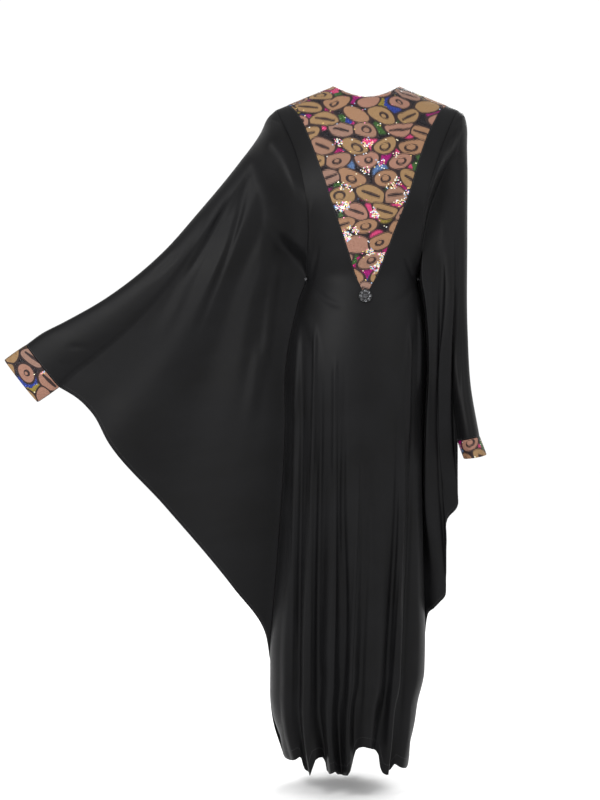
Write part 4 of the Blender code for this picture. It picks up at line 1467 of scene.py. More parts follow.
@dataclass
class Yoke:
    """The V-shaped sequin inset of the front."""

    form: BodyForm
    cover: SequinCover
    cut: Station = (0.345, 0.46)
    cut_area: float = 0.084
    neck_columns: int = 81
    shoulder_columns: int = 20
    rows_a_span: int = 12
    evened_rows: int = 8

    @property
    def heights(self) -> Array:
        """The rows' heights."""
        return spread_rows([row.z for row in self.form.torso], self.rows_a_span)

    def grid(self) -> Array:
        """The yoke's points: each row runs from one side of the V to the other on the torso.

        The first row follows the shoulder seams and the neckline. Its columns are closer to the
        corners of the neck, where the edge bends.

        Returns:
            Rows by columns by 3.
        """
        form = self.form
        sides = form.opening(self.heights)
        top_right, top_left = form.torso[0].yoke_right, form.torso[0].yoke_left
        arc = -form.neck_half_width * np.cos(np.linspace(0, math.pi, self.neck_columns))
        ramp = np.linspace(0, 1, self.shoulder_columns + 1)
        right = top_right + (-form.neck_half_width - top_right) * ramp[:-1]
        left = form.neck_half_width + (top_left - form.neck_half_width) * ramp[1:]
        share = (np.concatenate([right, arc, left]) - top_right) / (top_left - top_right)
        x = sides["yoke_right"][:, None] + (sides["yoke_left"] - sides["yoke_right"])[:, None] * share[None]
        z = np.repeat(self.heights[:, None], x.shape[1], axis=1)
        return evened(form.torso_points(x, z, Layer.FRONT), ease(np.arange(len(z)) / self.evened_rows))

    def places(self, grid: Array) -> Array:
        """The pattern's coordinates on the yoke, without stretch on the sloping shoulders.

        Across is x. Down is the length over the form at a constant x, measured from the bust, where
        it equals the depth below the origin.

        Args:
            grid: the yoke's points.

        Returns:
            The place across and down of each point.
        """
        form, heights = self.form, self.heights
        x = np.linspace(form.torso[0].yoke_right, form.torso[0].yoke_left, self.neck_columns)
        z = np.repeat(heights[:, None], len(x), axis=1)
        down = grid_lengths(form.torso_points(np.tile(x, (len(heights), 1)), z, Layer.FRONT), 0)[1]
        down += -form.bust_z - down[np.argmin(np.abs(heights - form.bust_z))]
        rows = [np.interp(row[:, 0], x, line) for row, line in zip(grid, down)]
        return np.stack([grid[..., 0], np.stack(rows)], axis=-1)

    def build(self) -> tuple[Object, Object]:
        """Makes the net that carries the sequins, and the sequins."""
        grid = self.grid()
        return self.cover.build("yoke", grid, Layer.FRONT.outward, self.places(grid))


@dataclass(frozen=True)
class Pleat:
    """A long soft fold of a wing, from the shoulder to the lower edge: its place across, half width,
    relief in front and behind, and where it begins and is full."""

    across: float
    half_width: float
    front: float
    back: float
    start: float
    full: float


@dataclass
class Wing:
    """A butterfly sleeve: a front and a back layer in one piece, folded at the overarm and sewn
    along its lower edge.

    A row of overarm or lower is a share of the way along and a point. sleeve is how far from the
    overarm the arm's depth stays full, slack the share that is left below, and spread how far from
    the side seam the seam's own depth reaches, from armhole_spread at the top. The least depths are
    shares of the pinch, in the open cloth and at its lower end.
    """

    form: BodyForm
    flank: Flank
    overarm: tuple[FourNumbers, ...]
    lower: tuple[FourNumbers, ...]
    pleats: tuple[Pleat, ...]
    creases: tuple[Crease, ...]
    columns: tuple[float, ...]
    cuff_across: float
    cuff_half_depth: float
    arm_radius: float
    sleeve: float
    slack: float
    armhole_spread: float
    spread: float
    spread_full: float
    arm_start: float
    closing_start: float
    cut: Station
    cut_area: float
    columns_a_lane: int = 5
    rows_a_span: int = 9
    outline_ease: float = 1.2
    sway_ease: float = 2.5
    leave_start: float = 0.2
    steepest: float = 0.35
    least_depths: Station = (0.8, 0.6)
    overhang: float = 0.0
    overhang_rows: FourNumbers = (0.1, 0.3, 0.78, 0.94)
    uncreased_edge: float = 0.03
    uncreased_end: float = 0.1
    edge_stitch: float = 0.008
    cuff_stitch: float = 0.003
    turn_lean: float = 0.3
    seam_step: int = 4

    @property
    def end_z(self) -> float:
        """The height where the lower edge meets the side seam."""
        return self.form.end_z(self.flank)

    @property
    def across(self) -> Array:
        """The columns' places, finer between the stations, the cuff's corner among them."""
        fine = np.linspace(0, len(self.columns) - 1, (len(self.columns) - 1) * self.columns_a_lane + 1)
        return np.interp(fine, np.arange(len(self.columns)), self.columns)

    @property
    def corner(self) -> int:
        """The column of the cuff's corner under the arm."""
        return int(np.argmin(np.abs(self.across - self.cuff_across)))

    def cuff_share(self, across: Array) -> Array:
        """How far along the cuff seam each column lies."""
        return np.clip((across - self.cuff_across) / (1 - self.cuff_across), 0, 1)

    def boundary(self, across: Array) -> Array:
        """The sewn lower edge on a smooth curve, then the cuff seam on a straight line.

        Args:
            across: the columns' places.

        Returns:
            The points.
        """
        table = np.array(self.lower)
        sewn = smooth_curve(table[:, 0], table[:, 1:], np.minimum(across, self.cuff_across))
        share = self.cuff_share(across)[:, None]
        return sewn * (1 - share) + np.array(self.overarm[-1][1:]) * share

    def middle(self, inner: Array, down: Array, across: Array) -> tuple[Array, Array]:
        """The surface midway between the layers, and the overarm line.

        It is ruled from the side seam to the overarm. The bends of the lower edge are added with a
        power of the way down.

        Args:
            inner: the side seam's points.
            down: the rows' places, 0 to 1.
            across: the columns' places, 0 to 1.

        Returns:
            The middle surface and the overarm.
        """
        table = np.array(self.overarm)
        outer = smooth_curve(table[:, 0], table[:, 1:], down)
        c = across[None, :, None]
        r = down[:, None, None]
        middle = inner[:, None] * (1 - c) + outer[:, None] * c
        straight = inner[-1] * (1 - across[:, None]) + outer[-1] * across[:, None]
        bend = (self.boundary(across) - straight)[None]
        middle[..., [0, 2]] += (bend * r**self.outline_ease)[..., [0, 2]]
        middle[..., 1] += (bend * r**self.sway_ease)[..., 1]
        return middle, outer

    def pleat_relief(self, down: Array, across: Array, layer: Layer) -> Array:
        """How far the long folds move a layer out: a squared cosine across, eased in on the way down.

        Args:
            down: the rows' places, 0 to 1.
            across: the columns' places, 0 to 1.
            layer: front or back.

        Returns:
            The relief at each row and column.
        """
        relief = np.zeros((len(down), len(across)))
        for pleat in self.pleats:
            off = np.clip((across - pleat.across) / pleat.half_width, -1, 1)
            growth = ease((down - pleat.start) / (pleat.full - pleat.start))
            size = pleat.front if layer is Layer.FRONT else pleat.back
            relief += size * growth[:, None] * (np.cos(off * math.pi / 2) ** 2)[None, :]
        return relief

    def hang(self, fall: Array, reach: Array) -> Array:
        """How far the cloth falls over its side seam, eased in and out on the way down.

        Args:
            fall: the rows' places, 0 to 1.
            reach: the distance from the seam, in spreads.

        Returns:
            The move towards the body.
        """
        grow, grown, shrink, gone = self.overhang_rows
        rows = ease((fall - grow) / (grown - grow)) * (1 - ease((fall - shrink) / (gone - shrink)))
        return self.overhang * (ease(reach) * (1 - ease((reach - 1) / 2)) * rows)

    def layers(self) -> dict[Layer, Patch]:
        """Both layers: the middle surface, moved out by the sleeve's rounded depth.

        The depth starts from the armhole's, rounds to nothing at the overarm as a circle does,
        closes below the arm as a bell curve, and ends in the cuff's ellipse. Beside the seam the
        cloth falls over it, by the overhang.

        Returns:
            A patch for each layer.
        """
        heights = self.form.row_heights(self.end_z, self.rows_a_span)
        across = self.across
        down = (heights[0] - heights) / (heights[0] - self.end_z)
        fall = down[:, None]
        seam = {layer: self.form.edge(heights, layer, self.flank) for layer in Layer}
        inner = (seam[Layer.FRONT] + seam[Layer.BACK]) / 2
        inner[:, 1] = 0.0
        middle, outer = self.middle(inner, down, across)
        from_arm, _ = line_distance(middle[..., 0], middle[..., 2], outer[:: self.seam_step][:, [0, 2]])
        from_seam, _ = line_distance(middle[..., 0], middle[..., 2], inner[:: self.seam_step][:, [0, 2]])
        cap = np.minimum(self.arm_radius, np.maximum(from_arm[:, :1], LEAST_REACH))
        rounded = np.sqrt(1 - (1 - np.clip(from_arm / cap, 0, 1)) ** 2)
        below = np.clip((from_arm - self.sleeve) / self.sleeve, 0, None)
        closing = self.slack + (1 - self.slack) * np.exp(-(below**2))
        fade = ease((fall - self.closing_start) / (1 - self.closing_start))
        spread = self.armhole_spread + (self.spread - self.armhole_spread) * ease(fall / self.spread_full)
        reach = from_seam / spread
        leave = ease((reach - self.leave_start) / (1 - self.leave_start))
        cuff = self.cuff_half_depth * np.sqrt(np.clip(1 - (2 * self.cuff_share(across) - 1) ** 2, 0, 1))
        least, least_end = (self.form.pinch * share for share in self.least_depths)
        end_depth = np.where(across < 1, np.maximum(cuff, least_end), 0.0)[None, :]
        facing = grid_normals(middle, Layer.FRONT.outward)
        least = least / np.clip(np.abs(facing[..., 1]), self.steepest, 1)
        least[:, -1] = 0.0
        hold = ease(from_seam / self.uncreased_edge) * ease(from_arm / self.uncreased_edge)
        hold = hold * (1 - ease((fall - (1 - self.uncreased_end)) / self.uncreased_end))
        made = {}
        for layer in Layer:
            edge = np.abs(seam[layer][:, 1])[:, None]
            arm = edge + (self.arm_radius - edge) * ease(fall / self.arm_start)
            depth = arm * rounded * closing * (1 - fade) + end_depth * fade**3
            creased = depth + self.pleat_relief(down, across, layer) * rounded * (1 - fade)
            free = np.maximum(creased, least)
            grid = middle.copy()
            grid[..., 1] += layer.value * (edge * (1 - leave) * rounded + free * leave)
            grid[..., 0] -= self.flank.value * self.hang(fall, reach)
            patch = patch_of(grid, layer.outward, -1, float(layer.value))
            patch.crease(self.creases, layer, hold)
            patch.grid[:, 0] = seam[layer]
            patch.grid[:, -1] = outer
            patch.grid[0] = seam[layer][0]
            made[layer] = patch
        return made

    def cuff_ring(self, made: dict[Layer, Patch]) -> Array:
        """The closed ring of the cuff seam, from the corner under the arm and round.

        Args:
            made: both layers.

        Returns:
            The ring's points, the first repeated at the end.
        """
        front = made[Layer.FRONT].grid[-1, self.corner :]
        back = made[Layer.BACK].grid[-1, self.corner : -1][::-1]
        return np.concatenate([front, back, front[:1]])

    def stitch_lines(self, made: dict[Layer, Patch]) -> list[tuple[Array, Array]]:
        """Where the wing is stitched: along its lower edge, and closer to the edge along the cuff.

        Args:
            made: both layers.

        Returns:
            Points and normals of each line.
        """
        lines = []
        for layer, patch in made.items():
            grid = patch.grid[::-1]
            lines.append(inner_line(grid[:, : self.corner + 1], layer.outward, self.edge_stitch))
            lines.append(inner_line(grid[:, self.corner : -1], layer.outward, self.cuff_stitch))
        return lines

    def build(self, made: dict[Layer, Patch], finish: Finish) -> Object:
        """Makes the wing: both layers, and the turn of the cloth along the lower edge.

        Args:
            made: both layers.
            finish: what it is dressed in.

        Returns:
            The object.
        """
        side = self.flank.name.lower()
        edges = np.stack([made[layer].grid[-1, : self.corner + 1] for layer in Layer])
        turn = patch_of(edges, np.array([self.flank.value * self.turn_lean, 0.0, -1.0]))
        cloth = cloth_piece(side + "_wing_cloth", [*made.values(), turn])
        finish.put_on(cloth, side + "_wing_jersey")
        return cloth


@dataclass
class RightWing(Wing):
    """The raised wing, on the wearer's right."""

    flank: Flank = Flank.RIGHT
    overarm: tuple[FourNumbers, ...] = (
        (0.0, -0.191, 0.0, -0.043), (0.032, -0.2083, 0.0, -0.0595), (0.08, -0.2232, 0.0, -0.0914),
        (0.183, -0.2679, 0.0, -0.1531), (0.376, -0.3593, 0.0, -0.2636), (0.515, -0.4273, 0.0, -0.3402),
        (0.733, -0.5528, 0.0, -0.4422), (0.872, -0.642, 0.0, -0.4932), (0.947, -0.691, 0.0, -0.5187),
        (1.0, -0.7228, 0.0, -0.5421),
    )
    lower: tuple[FourNumbers, ...] = (
        (0.0, -0.2041, 0.0, -1.212), (0.07, -0.2156, 0.0, -1.151), (0.197, -0.2819, -0.01, -1.0562),
        (0.44, -0.4281, 0.008, -0.8857), (0.633, -0.5463, -0.006, -0.7504),
        (0.714, -0.5825, 0.0, -0.6866), (0.761, -0.6144, 0.0, -0.6548), (0.8, -0.6527, 0.0, -0.6314),
    )
    pleats: tuple[Pleat, ...] = (
        Pleat(0.2, 0.08, -0.006, 0.005, 0.15, 0.6), Pleat(0.36, 0.09, 0.007, -0.006, 0.12, 0.6),
        Pleat(0.5, 0.08, -0.007, 0.006, 0.1, 0.5), Pleat(0.63, 0.08, 0.006, -0.005, 0.1, 0.5),
        Pleat(0.76, 0.07, -0.006, 0.005, 0.12, 0.45),
    )
    creases: tuple[Crease, ...] = (
        Crease(((-0.2445, -0.17), (-0.289, -0.34), (-0.374, -0.5485)), 0.012, -0.0046),
        Crease(((-0.276, -0.21), (-0.317, -0.291), (-0.3976, -0.427)), 0.011, -0.004),
        Crease(((-0.391, -0.34), (-0.423, -0.372), (-0.455, -0.404)), 0.014, -0.0016),
        Crease(((-0.221, -0.5166), (-0.236, -0.62), (-0.253, -0.727)), 0.022, 0.0035),
        Crease(((-0.657, -0.578), (-0.63, -0.586), (-0.604, -0.593)), 0.008, -0.0022),
        Crease(((-0.64, -0.545), (-0.6, -0.548), (-0.555, -0.56)), 0.009, -0.0018),
        Crease(((-0.3, -0.19), (-0.345, -0.33), (-0.45, -0.56)), 0.02, 0.0024),
        Crease(((-0.185, -0.33), (-0.205, -0.48), (-0.222, -0.64)), 0.016, 0.003),
        Crease(((-0.23, -0.2), (-0.262, -0.38), (-0.33, -0.62)), 0.022, 0.0028, Layer.BACK),
        Crease(((-0.255, -0.19), (-0.31, -0.34), (-0.4, -0.52)), 0.018, -0.003, Layer.BACK),
        Crease(((-0.37, -0.32), (-0.43, -0.42), (-0.5, -0.5)), 0.016, -0.002, Layer.BACK),
        Crease(((-0.205, -0.52), (-0.225, -0.68), (-0.25, -0.86)), 0.02, -0.003, Layer.BACK),
        Crease(((-0.65, -0.58), (-0.615, -0.588), (-0.58, -0.6)), 0.009, -0.002, Layer.BACK),
    )
    columns: tuple[float, ...] = (
        *(0.0, 0.035, 0.08, 0.14, 0.2, 0.28, 0.36, 0.43, 0.5, 0.57, 0.63, 0.7, 0.76, 0.8),
        *(0.835, 0.875, 0.915, 0.955, 0.98, 1.0),
    )
    cuff_across: float = 0.8
    cuff_half_depth: float = 0.017
    arm_radius: float = 0.04
    sleeve: float = 0.1
    slack: float = 0.3
    armhole_spread: float = 0.1
    spread: float = 0.1
    spread_full: float = 0.5
    arm_start: float = 0.15
    closing_start: float = 0.1
    cut: Station = (1.1, 1.24)
    cut_area: float = 0.645


@dataclass
class LeftWing(Wing):
    """The hanging wing, on the wearer's left."""

    flank: Flank = Flank.LEFT
    overarm: tuple[FourNumbers, ...] = (
        (0.0, 0.194, 0.0, -0.043), (0.025, 0.208, 0.0, -0.054), (0.05, 0.213, 0.0, -0.07),
        (0.122, 0.215, 0.0, -0.121), (0.378, 0.215, -0.004, -0.3), (0.686, 0.215, -0.012, -0.5166),
        (0.849, 0.221, -0.018, -0.631), (1.0, 0.238, -0.024, -0.7356),
    )
    lower: tuple[FourNumbers, ...] = (
        (0.0, 0.1254, 0.0, -1.157), (0.07, 0.131, -0.004, -1.115), (0.15, 0.1435, -0.012, -1.0995),
        (0.23, 0.156, -0.016, -1.0855), (0.3, 0.167, -0.012, -1.0735), (0.33, 0.169, -0.01, -1.066),
        (0.37, 0.1692, -0.009, -1.042), (0.45, 0.169, -0.013, -0.97), (0.515, 0.1715, -0.02, -0.909),
        (0.55, 0.188, -0.022, -0.8905), (0.57, 0.1925, -0.022, -0.882), (0.62, 0.193, -0.02, -0.855),
        (0.68, 0.1925, -0.02, -0.805), (0.74, 0.192, -0.024, -0.745),
    )
    pleats: tuple[Pleat, ...] = (
        Pleat(0.17, 0.13, 0.009, 0.01, 0.24, 0.6), Pleat(0.37, 0.1, -0.005, -0.008, 0.24, 0.6),
        Pleat(0.55, 0.14, 0.008, 0.018, 0.2, 0.6), Pleat(0.75, 0.08, -0.006, -0.008, 0.24, 0.6),
    )
    creases: tuple[Crease, ...] = (
        Crease(((0.148, -0.3), (0.145, -0.48), (0.142, -0.7)), 0.01, 0.0016),
        Crease(((0.163, -0.42), (0.16, -0.62), (0.159, -0.86)), 0.01, -0.0008),
        Crease(((0.184, -0.26), (0.182, -0.48), (0.181, -0.7)), 0.012, 0.001),
        Crease(((0.199, -0.28), (0.197, -0.46), (0.1956, -0.69)), 0.006, -0.0026),
        Crease(((0.208, -0.2), (0.207, -0.4), (0.208, -0.6)), 0.006, 0.001),
        Crease(((0.15, -0.3), (0.152, -0.56), (0.15, -0.86)), 0.012, 0.0036, Layer.BACK),
        Crease(((0.18, -0.22), (0.178, -0.46), (0.176, -0.72)), 0.01, -0.0034, Layer.BACK),
        Crease(((0.198, -0.26), (0.198, -0.45), (0.2, -0.64)), 0.008, 0.0026, Layer.BACK),
    )
    columns: tuple[float, ...] = (
        *(0.0, 0.035, 0.075, 0.12, 0.17, 0.23, 0.3, 0.37, 0.43, 0.49, 0.55, 0.62, 0.68, 0.74),
        *(0.79, 0.84, 0.89, 0.93, 0.965, 1.0),
    )
    cuff_across: float = 0.74
    cuff_half_depth: float = 0.044
    arm_radius: float = 0.043
    sleeve: float = 0.3
    slack: float = 0.6
    armhole_spread: float = 0.036
    spread: float = 0.018
    overhang: float = 0.013
    spread_full: float = 0.3
    arm_start: float = 0.15
    closing_start: float = 0.45
    cut: Station = (0.42, 1.12)
    cut_area: float = 0.3


@dataclass
class Cuff:
    """A sequin cuff at the end of a wing."""

    flank: Flank
    run: Place
    cover: SequinCover
    cut: Station
    rows: int = 22
    flare: float = 0.012

    def grid(self, ring: Array) -> Array:
        """The cuff's points: the seam ring carried along the run, flared a little half way.

        Args:
            ring: the closed seam ring.

        Returns:
            Rows by columns by 3.
        """
        t = np.linspace(0, 1, self.rows)[:, None, None]
        centre = ring[:-1].mean(axis=0)
        wider = 1 + self.flare * np.sin(math.pi * t)
        return centre + (ring[None] - centre) * wider + np.array(self.run) * t

    def build(self, ring: Array) -> tuple[Object, Object]:
        """Makes the net and the sequins of the cuff.

        Args:
            ring: the closed seam ring.

        Returns:
            The net and the sequins.
        """
        grid = self.grid(ring)
        outward = grid - grid[:, :-1].mean(axis=1, keepdims=True)
        places = np.stack(grid_lengths(grid, 0), axis=-1)
        return self.cover.build(self.flank.name.lower() + "_cuff", grid, outward, places)


# Stones and their settings


@dataclass(frozen=True)
class Seat:
    """Where a stone or setting sits: the middle of its back, its own axes and its size."""

    place: Array
    axes: Array
    radius: float
    height: float

    @classmethod
    def of_node(cls, node: Object) -> "Seat":
        """Reads a seat off a CAD node, a low round solid whose back is wider than its face.

        The axis is the direction in which its points spread least. It runs from the wide end to the
        narrow one.

        Args:
            node: the CAD node's object.

        Returns:
            The seat.
        """
        points = np.empty(3 * len(node.data.vertices))
        node.data.vertices.foreach_get("co", points)
        points = np.unique(np.round(points.reshape(-1, 3), NODE_DECIMALS), axis=0)
        centre = points.mean(axis=0)
        out = np.linalg.svd(points - centre)[2][2]
        level = (points - centre) @ out
        reach = np.linalg.norm(points - centre - level[:, None] * out, axis=1)
        if reach[level > 0].mean() > reach[level < 0].mean():
            out, level = -out, -level
        side = unit(np.cross(np.array([0.0, 0.0, 1.0]), out))
        axes = np.stack([side, np.cross(out, side), out])
        return cls(centre + out * level.min(), axes, float(reach.max()), float(np.ptp(level)))

    def carry(self, points: Array) -> Array:
        """Points given in the seat's own axes, carried to their place."""
        return self.place + points @ self.axes

    def sized(self, profile: Sequence[Station]) -> Array:
        """A profile given in shares of the seat's radius and height, in metres."""
        return np.array(profile) * (self.radius, self.height)


def turned(profile: Sequence[Station] | Array, sides: int, stagger: bool = False) -> tuple[Array, Array]:
    """A closed turned surface: a ring of points for each profile point, and two triangles a field.

    Args:
        profile: radius and height from the middle of the back, out and round to the middle of the
            face. The first and last radius may be 0.
        sides: points of a ring.
        stagger: whether each second ring is turned by half a side, which gives cut facets.

    Returns:
        The points and the faces, which point outwards.
    """
    rings = np.arange(len(profile))[:, None]
    angle = math.tau * (np.arange(sides)[None] + 0.5 * (rings % 2) * stagger) / sides
    radius, height = np.array(profile).T
    x = radius[:, None] * np.cos(angle)
    y = radius[:, None] * np.sin(angle)
    points = np.stack([x, y, np.broadcast_to(height[:, None], x.shape)], axis=-1).reshape(-1, 3)
    index = np.arange(len(points)).reshape(len(profile), sides)
    ahead = np.roll(index, -1, axis=1)
    odd = (rings[:-1] % 2 == 1) & stagger
    near = np.where(odd, ahead[1:], index[1:])
    first = np.stack([index[:-1], ahead[:-1], near], axis=-1)
    other = np.where(odd, index[1:], ahead[1:])
    turned_over = np.stack([index[:-1], near, other], axis=-1)
    second = np.where(odd[..., None], turned_over, np.stack([ahead[:-1], other, near], axis=-1))
    return points, np.concatenate([first.reshape(-1, 3), second.reshape(-1, 3)])


@dataclass
class Fitting(ABC):
    """A small hard piece that takes the place of a CAD node."""

    finish: Finish
    ending: ClassVar[str]

    @abstractmethod
    def surface(self, seat: Seat) -> tuple[Array, Array]:
        """The piece's surface in the seat's own axes: points and faces."""

    def build(self, node: Object) -> Object:
        """Makes the piece in the place of its node.

        Args:
            node: the CAD node's object.

        Returns:
            The object.
        """
        seat = Seat.of_node(node)
        points, faces = self.surface(seat)
        piece = new_piece(node.name + self.ending, seat.carry(points), faces.tolist(), {})
        self.finish.put_on(piece, piece.name)
        return piece


@dataclass
class Stone(Fitting):
    """A cut stone: a girdle, a crown of staggered facets and a flat table."""

    sides: int = 12
    cut: tuple[Station, ...] = ((0.0, 0.0), (0.99, 0.0), (1.0, 0.28), (0.8, 0.66), (0.52, 1.0), (0.0, 1.0))
    ending: ClassVar[str] = "_cut"

    def surface(self, seat: Seat) -> tuple[Array, Array]:
        """The stone's facets, each second ring of them staggered."""
        return turned(seat.sized(self.cut), self.sides, stagger=True)


@dataclass
class Setting(Fitting):
    """A round metal dish with a rolled rim and a row of beads round it."""

    sides: int = 40
    dish: tuple[Station, ...] = (
        *((0.0, 0.0), (0.97, 0.0), (1.0, 0.3), (0.985, 0.75)),
        *((0.93, 1.0), (0.84, 1.0), (0.8, 0.86), (0.0, 0.82)),
    )
    beads: int = 26
    bead_share: float = 0.075
    bead_sides: int = 8
    bead_rings: int = 6
    ending: ClassVar[str] = "_beaded"

    def bead_ring(self, seat: Seat) -> tuple[Array, Array]:
        """The beads: small spheres on a circle, each the same turned half circle moved in place.

        Args:
            seat: the setting's seat.

        Returns:
            Points and faces.
        """
        size = seat.radius * self.bead_share
        arc = np.linspace(-math.pi / 2, math.pi / 2, self.bead_rings)
        points, faces = turned([(size * math.cos(a), size * math.sin(a)) for a in arc], self.bead_sides)
        angle = math.tau * np.arange(self.beads) / self.beads
        reach = seat.radius - size
        level = np.full(self.beads, seat.height)
        middle = np.stack([reach * np.cos(angle), reach * np.sin(angle), level], axis=1)
        every = (middle[:, None] + points[None]).reshape(-1, 3)
        index = np.arange(self.beads)[:, None, None] * len(points) + faces[None]
        return every, index.reshape(-1, 3)

    def surface(self, seat: Seat) -> tuple[Array, Array]:
        """The dish and its beads.

        Args:
            seat: the setting's seat.

        Returns:
            Points and faces.
        """
        points, faces = turned(seat.sized(self.dish), self.sides)
        beads, bead_faces = self.bead_ring(seat)
        return np.concatenate([points, beads]), np.concatenate([faces, bead_faces + len(points)])


@dataclass
class Stitches:
    """Lockstitches along lines that lie on the cloth."""

    pitch: float = 0.004
    length: float = 0.0031
    radius: float = 0.00024
    sides: int = 6
    rings: int = 5
    tip: float = 0.02
    rise: float = 1.1
    dip: float = 1.6

    def along(self, line: Array, facing: Array) -> tuple[Array, Array]:
        """The stitches of one line: thin rounded rods, a pitch apart, their ends dipped into the cloth.

        Args:
            line: the line's points.
            facing: the cloth's normals there.

        Returns:
            Points and faces.
        """
        run = running_length(line)
        at = np.arange(self.pitch / 2, run[-1] - self.pitch / 2, self.pitch)
        centre = read_line(line, run, at)
        out = unit(read_line(facing, run, at))
        ahead = unit(read_line(line, run, at + self.length / 2) - read_line(line, run, at - self.length / 2))
        side = unit(np.cross(out, ahead))
        t = np.linspace(-1, 1, self.rings)
        angle = math.tau * np.arange(self.sides) / self.sides
        thick = self.radius * np.sqrt(np.clip(1 - np.abs(t) ** 3, self.tip, 1))
        rise = self.radius * (self.rise - self.dip * t**2)
        shape = (1, len(t), len(angle), 1)
        along = np.broadcast_to((t * self.length / 2)[:, None], (len(t), len(angle))).reshape(shape)
        level = (rise[:, None] + thick[:, None] * np.cos(angle)).reshape(shape)
        wide = (thick[:, None] * np.sin(angle)).reshape(shape)
        base = centre[:, None, None]
        points = base + ahead[:, None, None] * along + out[:, None, None] * level + side[:, None, None] * wide
        index = np.arange(len(t) * len(angle)).reshape(len(t), len(angle))
        ahead_ring = np.roll(index, -1, axis=1)
        quads = np.stack([index[:-1], ahead_ring[:-1], ahead_ring[1:], index[1:]], axis=-1).reshape(-1, 4)
        every = np.arange(len(at))[:, None, None] * index.size + quads[None]
        return points.reshape(-1, 3), every.reshape(-1, 4)

    def build(self, name: str, lines: Sequence[tuple[Array, Array]]) -> Object:
        """Makes the stitches of several lines as one mesh.

        Args:
            name: the piece's name.
            lines: points and normals of each line.

        Returns:
            The object.
        """
        runs = [self.along(line, facing) for line, facing in lines]
        starts = np.cumsum([0] + [len(points) for points, _ in runs])
        faces = np.concatenate([quads + start for (_, quads), start in zip(runs, starts)])
        piece = new_piece(name, np.concatenate([points for points, _ in runs]), faces.tolist(), {})
        piece.data.shade_smooth()
        ThreadFinish().put_on(piece, name)
        return piece


# The view


@dataclass(frozen=True)
class Lamp:
    """A square area light: its name, place, side in metres and power in watts."""

    name: str
    place: Place
    size: float
    power: float

    def build(self, target: Place) -> None:
        """Puts the lamp up, turned towards a point.

        Args:
            target: the point.
        """
        lamp = bpy.data.lights.new(self.name, "AREA")
        lamp.size = self.size
        lamp.energy = self.power
        stand = bpy.data.objects.new(self.name, lamp)
        stand.location = self.place
        stand.rotation_euler = (Vector(target) - Vector(self.place)).to_track_quat("-Z", "Y").to_euler()
        bpy.context.scene.collection.objects.link(stand)


@dataclass(frozen=True)
class Studio:
    """A plain pale floor, soft white light and the camera."""

    camera_place: Place = (-0.1403, -3.1, -0.659)
    lens: float = 65.62
    sensor: float = 36.0
    floor_z: float = -1.48
    floor_half: float = 14.0
    sky: float = 1.04
    aim_z: float = -0.35
    lamps: tuple[Lamp, ...] = (
        Lamp("key", (-1.15, -1.7, 0.2), 0.6, 28.0),
        Lamp("fill", (2.2, -2.4, 0.6), 1.8, 28.0),
        Lamp("back", (0.5, 2.1, 1.15), 1.4, 55.0),
    )

    def floor(self) -> None:
        """A wide flat floor just under the hem."""
        r, z = self.floor_half, self.floor_z
        corners = np.array([(-r, -r, z), (r, -r, z), (r, r, z), (-r, r, z)])
        floor = new_piece("floor", corners, [(0, 1, 2, 3)], {})
        PaperFinish().put_on(floor, "floor_paper")

    def sky_light(self) -> None:
        """An even white light from all sides."""
        world = bpy.data.worlds.new("studio")
        world.use_nodes = True
        background = world.node_tree.nodes["Background"]
        background.inputs["Color"].default_value = (1.0, 1.0, 1.0, 1.0)
        background.inputs["Strength"].default_value = self.sky
        bpy.context.scene.world = world

    def camera(self) -> None:
        """The camera, level and facing the garment's front."""
        lens = bpy.data.cameras.new("camera")
        lens.sensor_fit = "VERTICAL"
        lens.sensor_height = self.sensor
        lens.lens = self.lens
        camera = bpy.data.objects.new("camera", lens)
        camera.location = self.camera_place
        camera.rotation_euler = (math.pi / 2, 0.0, 0.0)
        bpy.context.scene.collection.objects.link(camera)
        bpy.context.scene.camera = camera

    def build(self) -> None:
        """Sets up the floor, the light and the camera."""
        self.floor()
        self.sky_light()
        for lamp in self.lamps:
            lamp.build((self.camera_place[0], 0.0, self.aim_z))
        self.camera()
        bpy.context.scene.view_settings.view_transform = "Standard"


# The garment


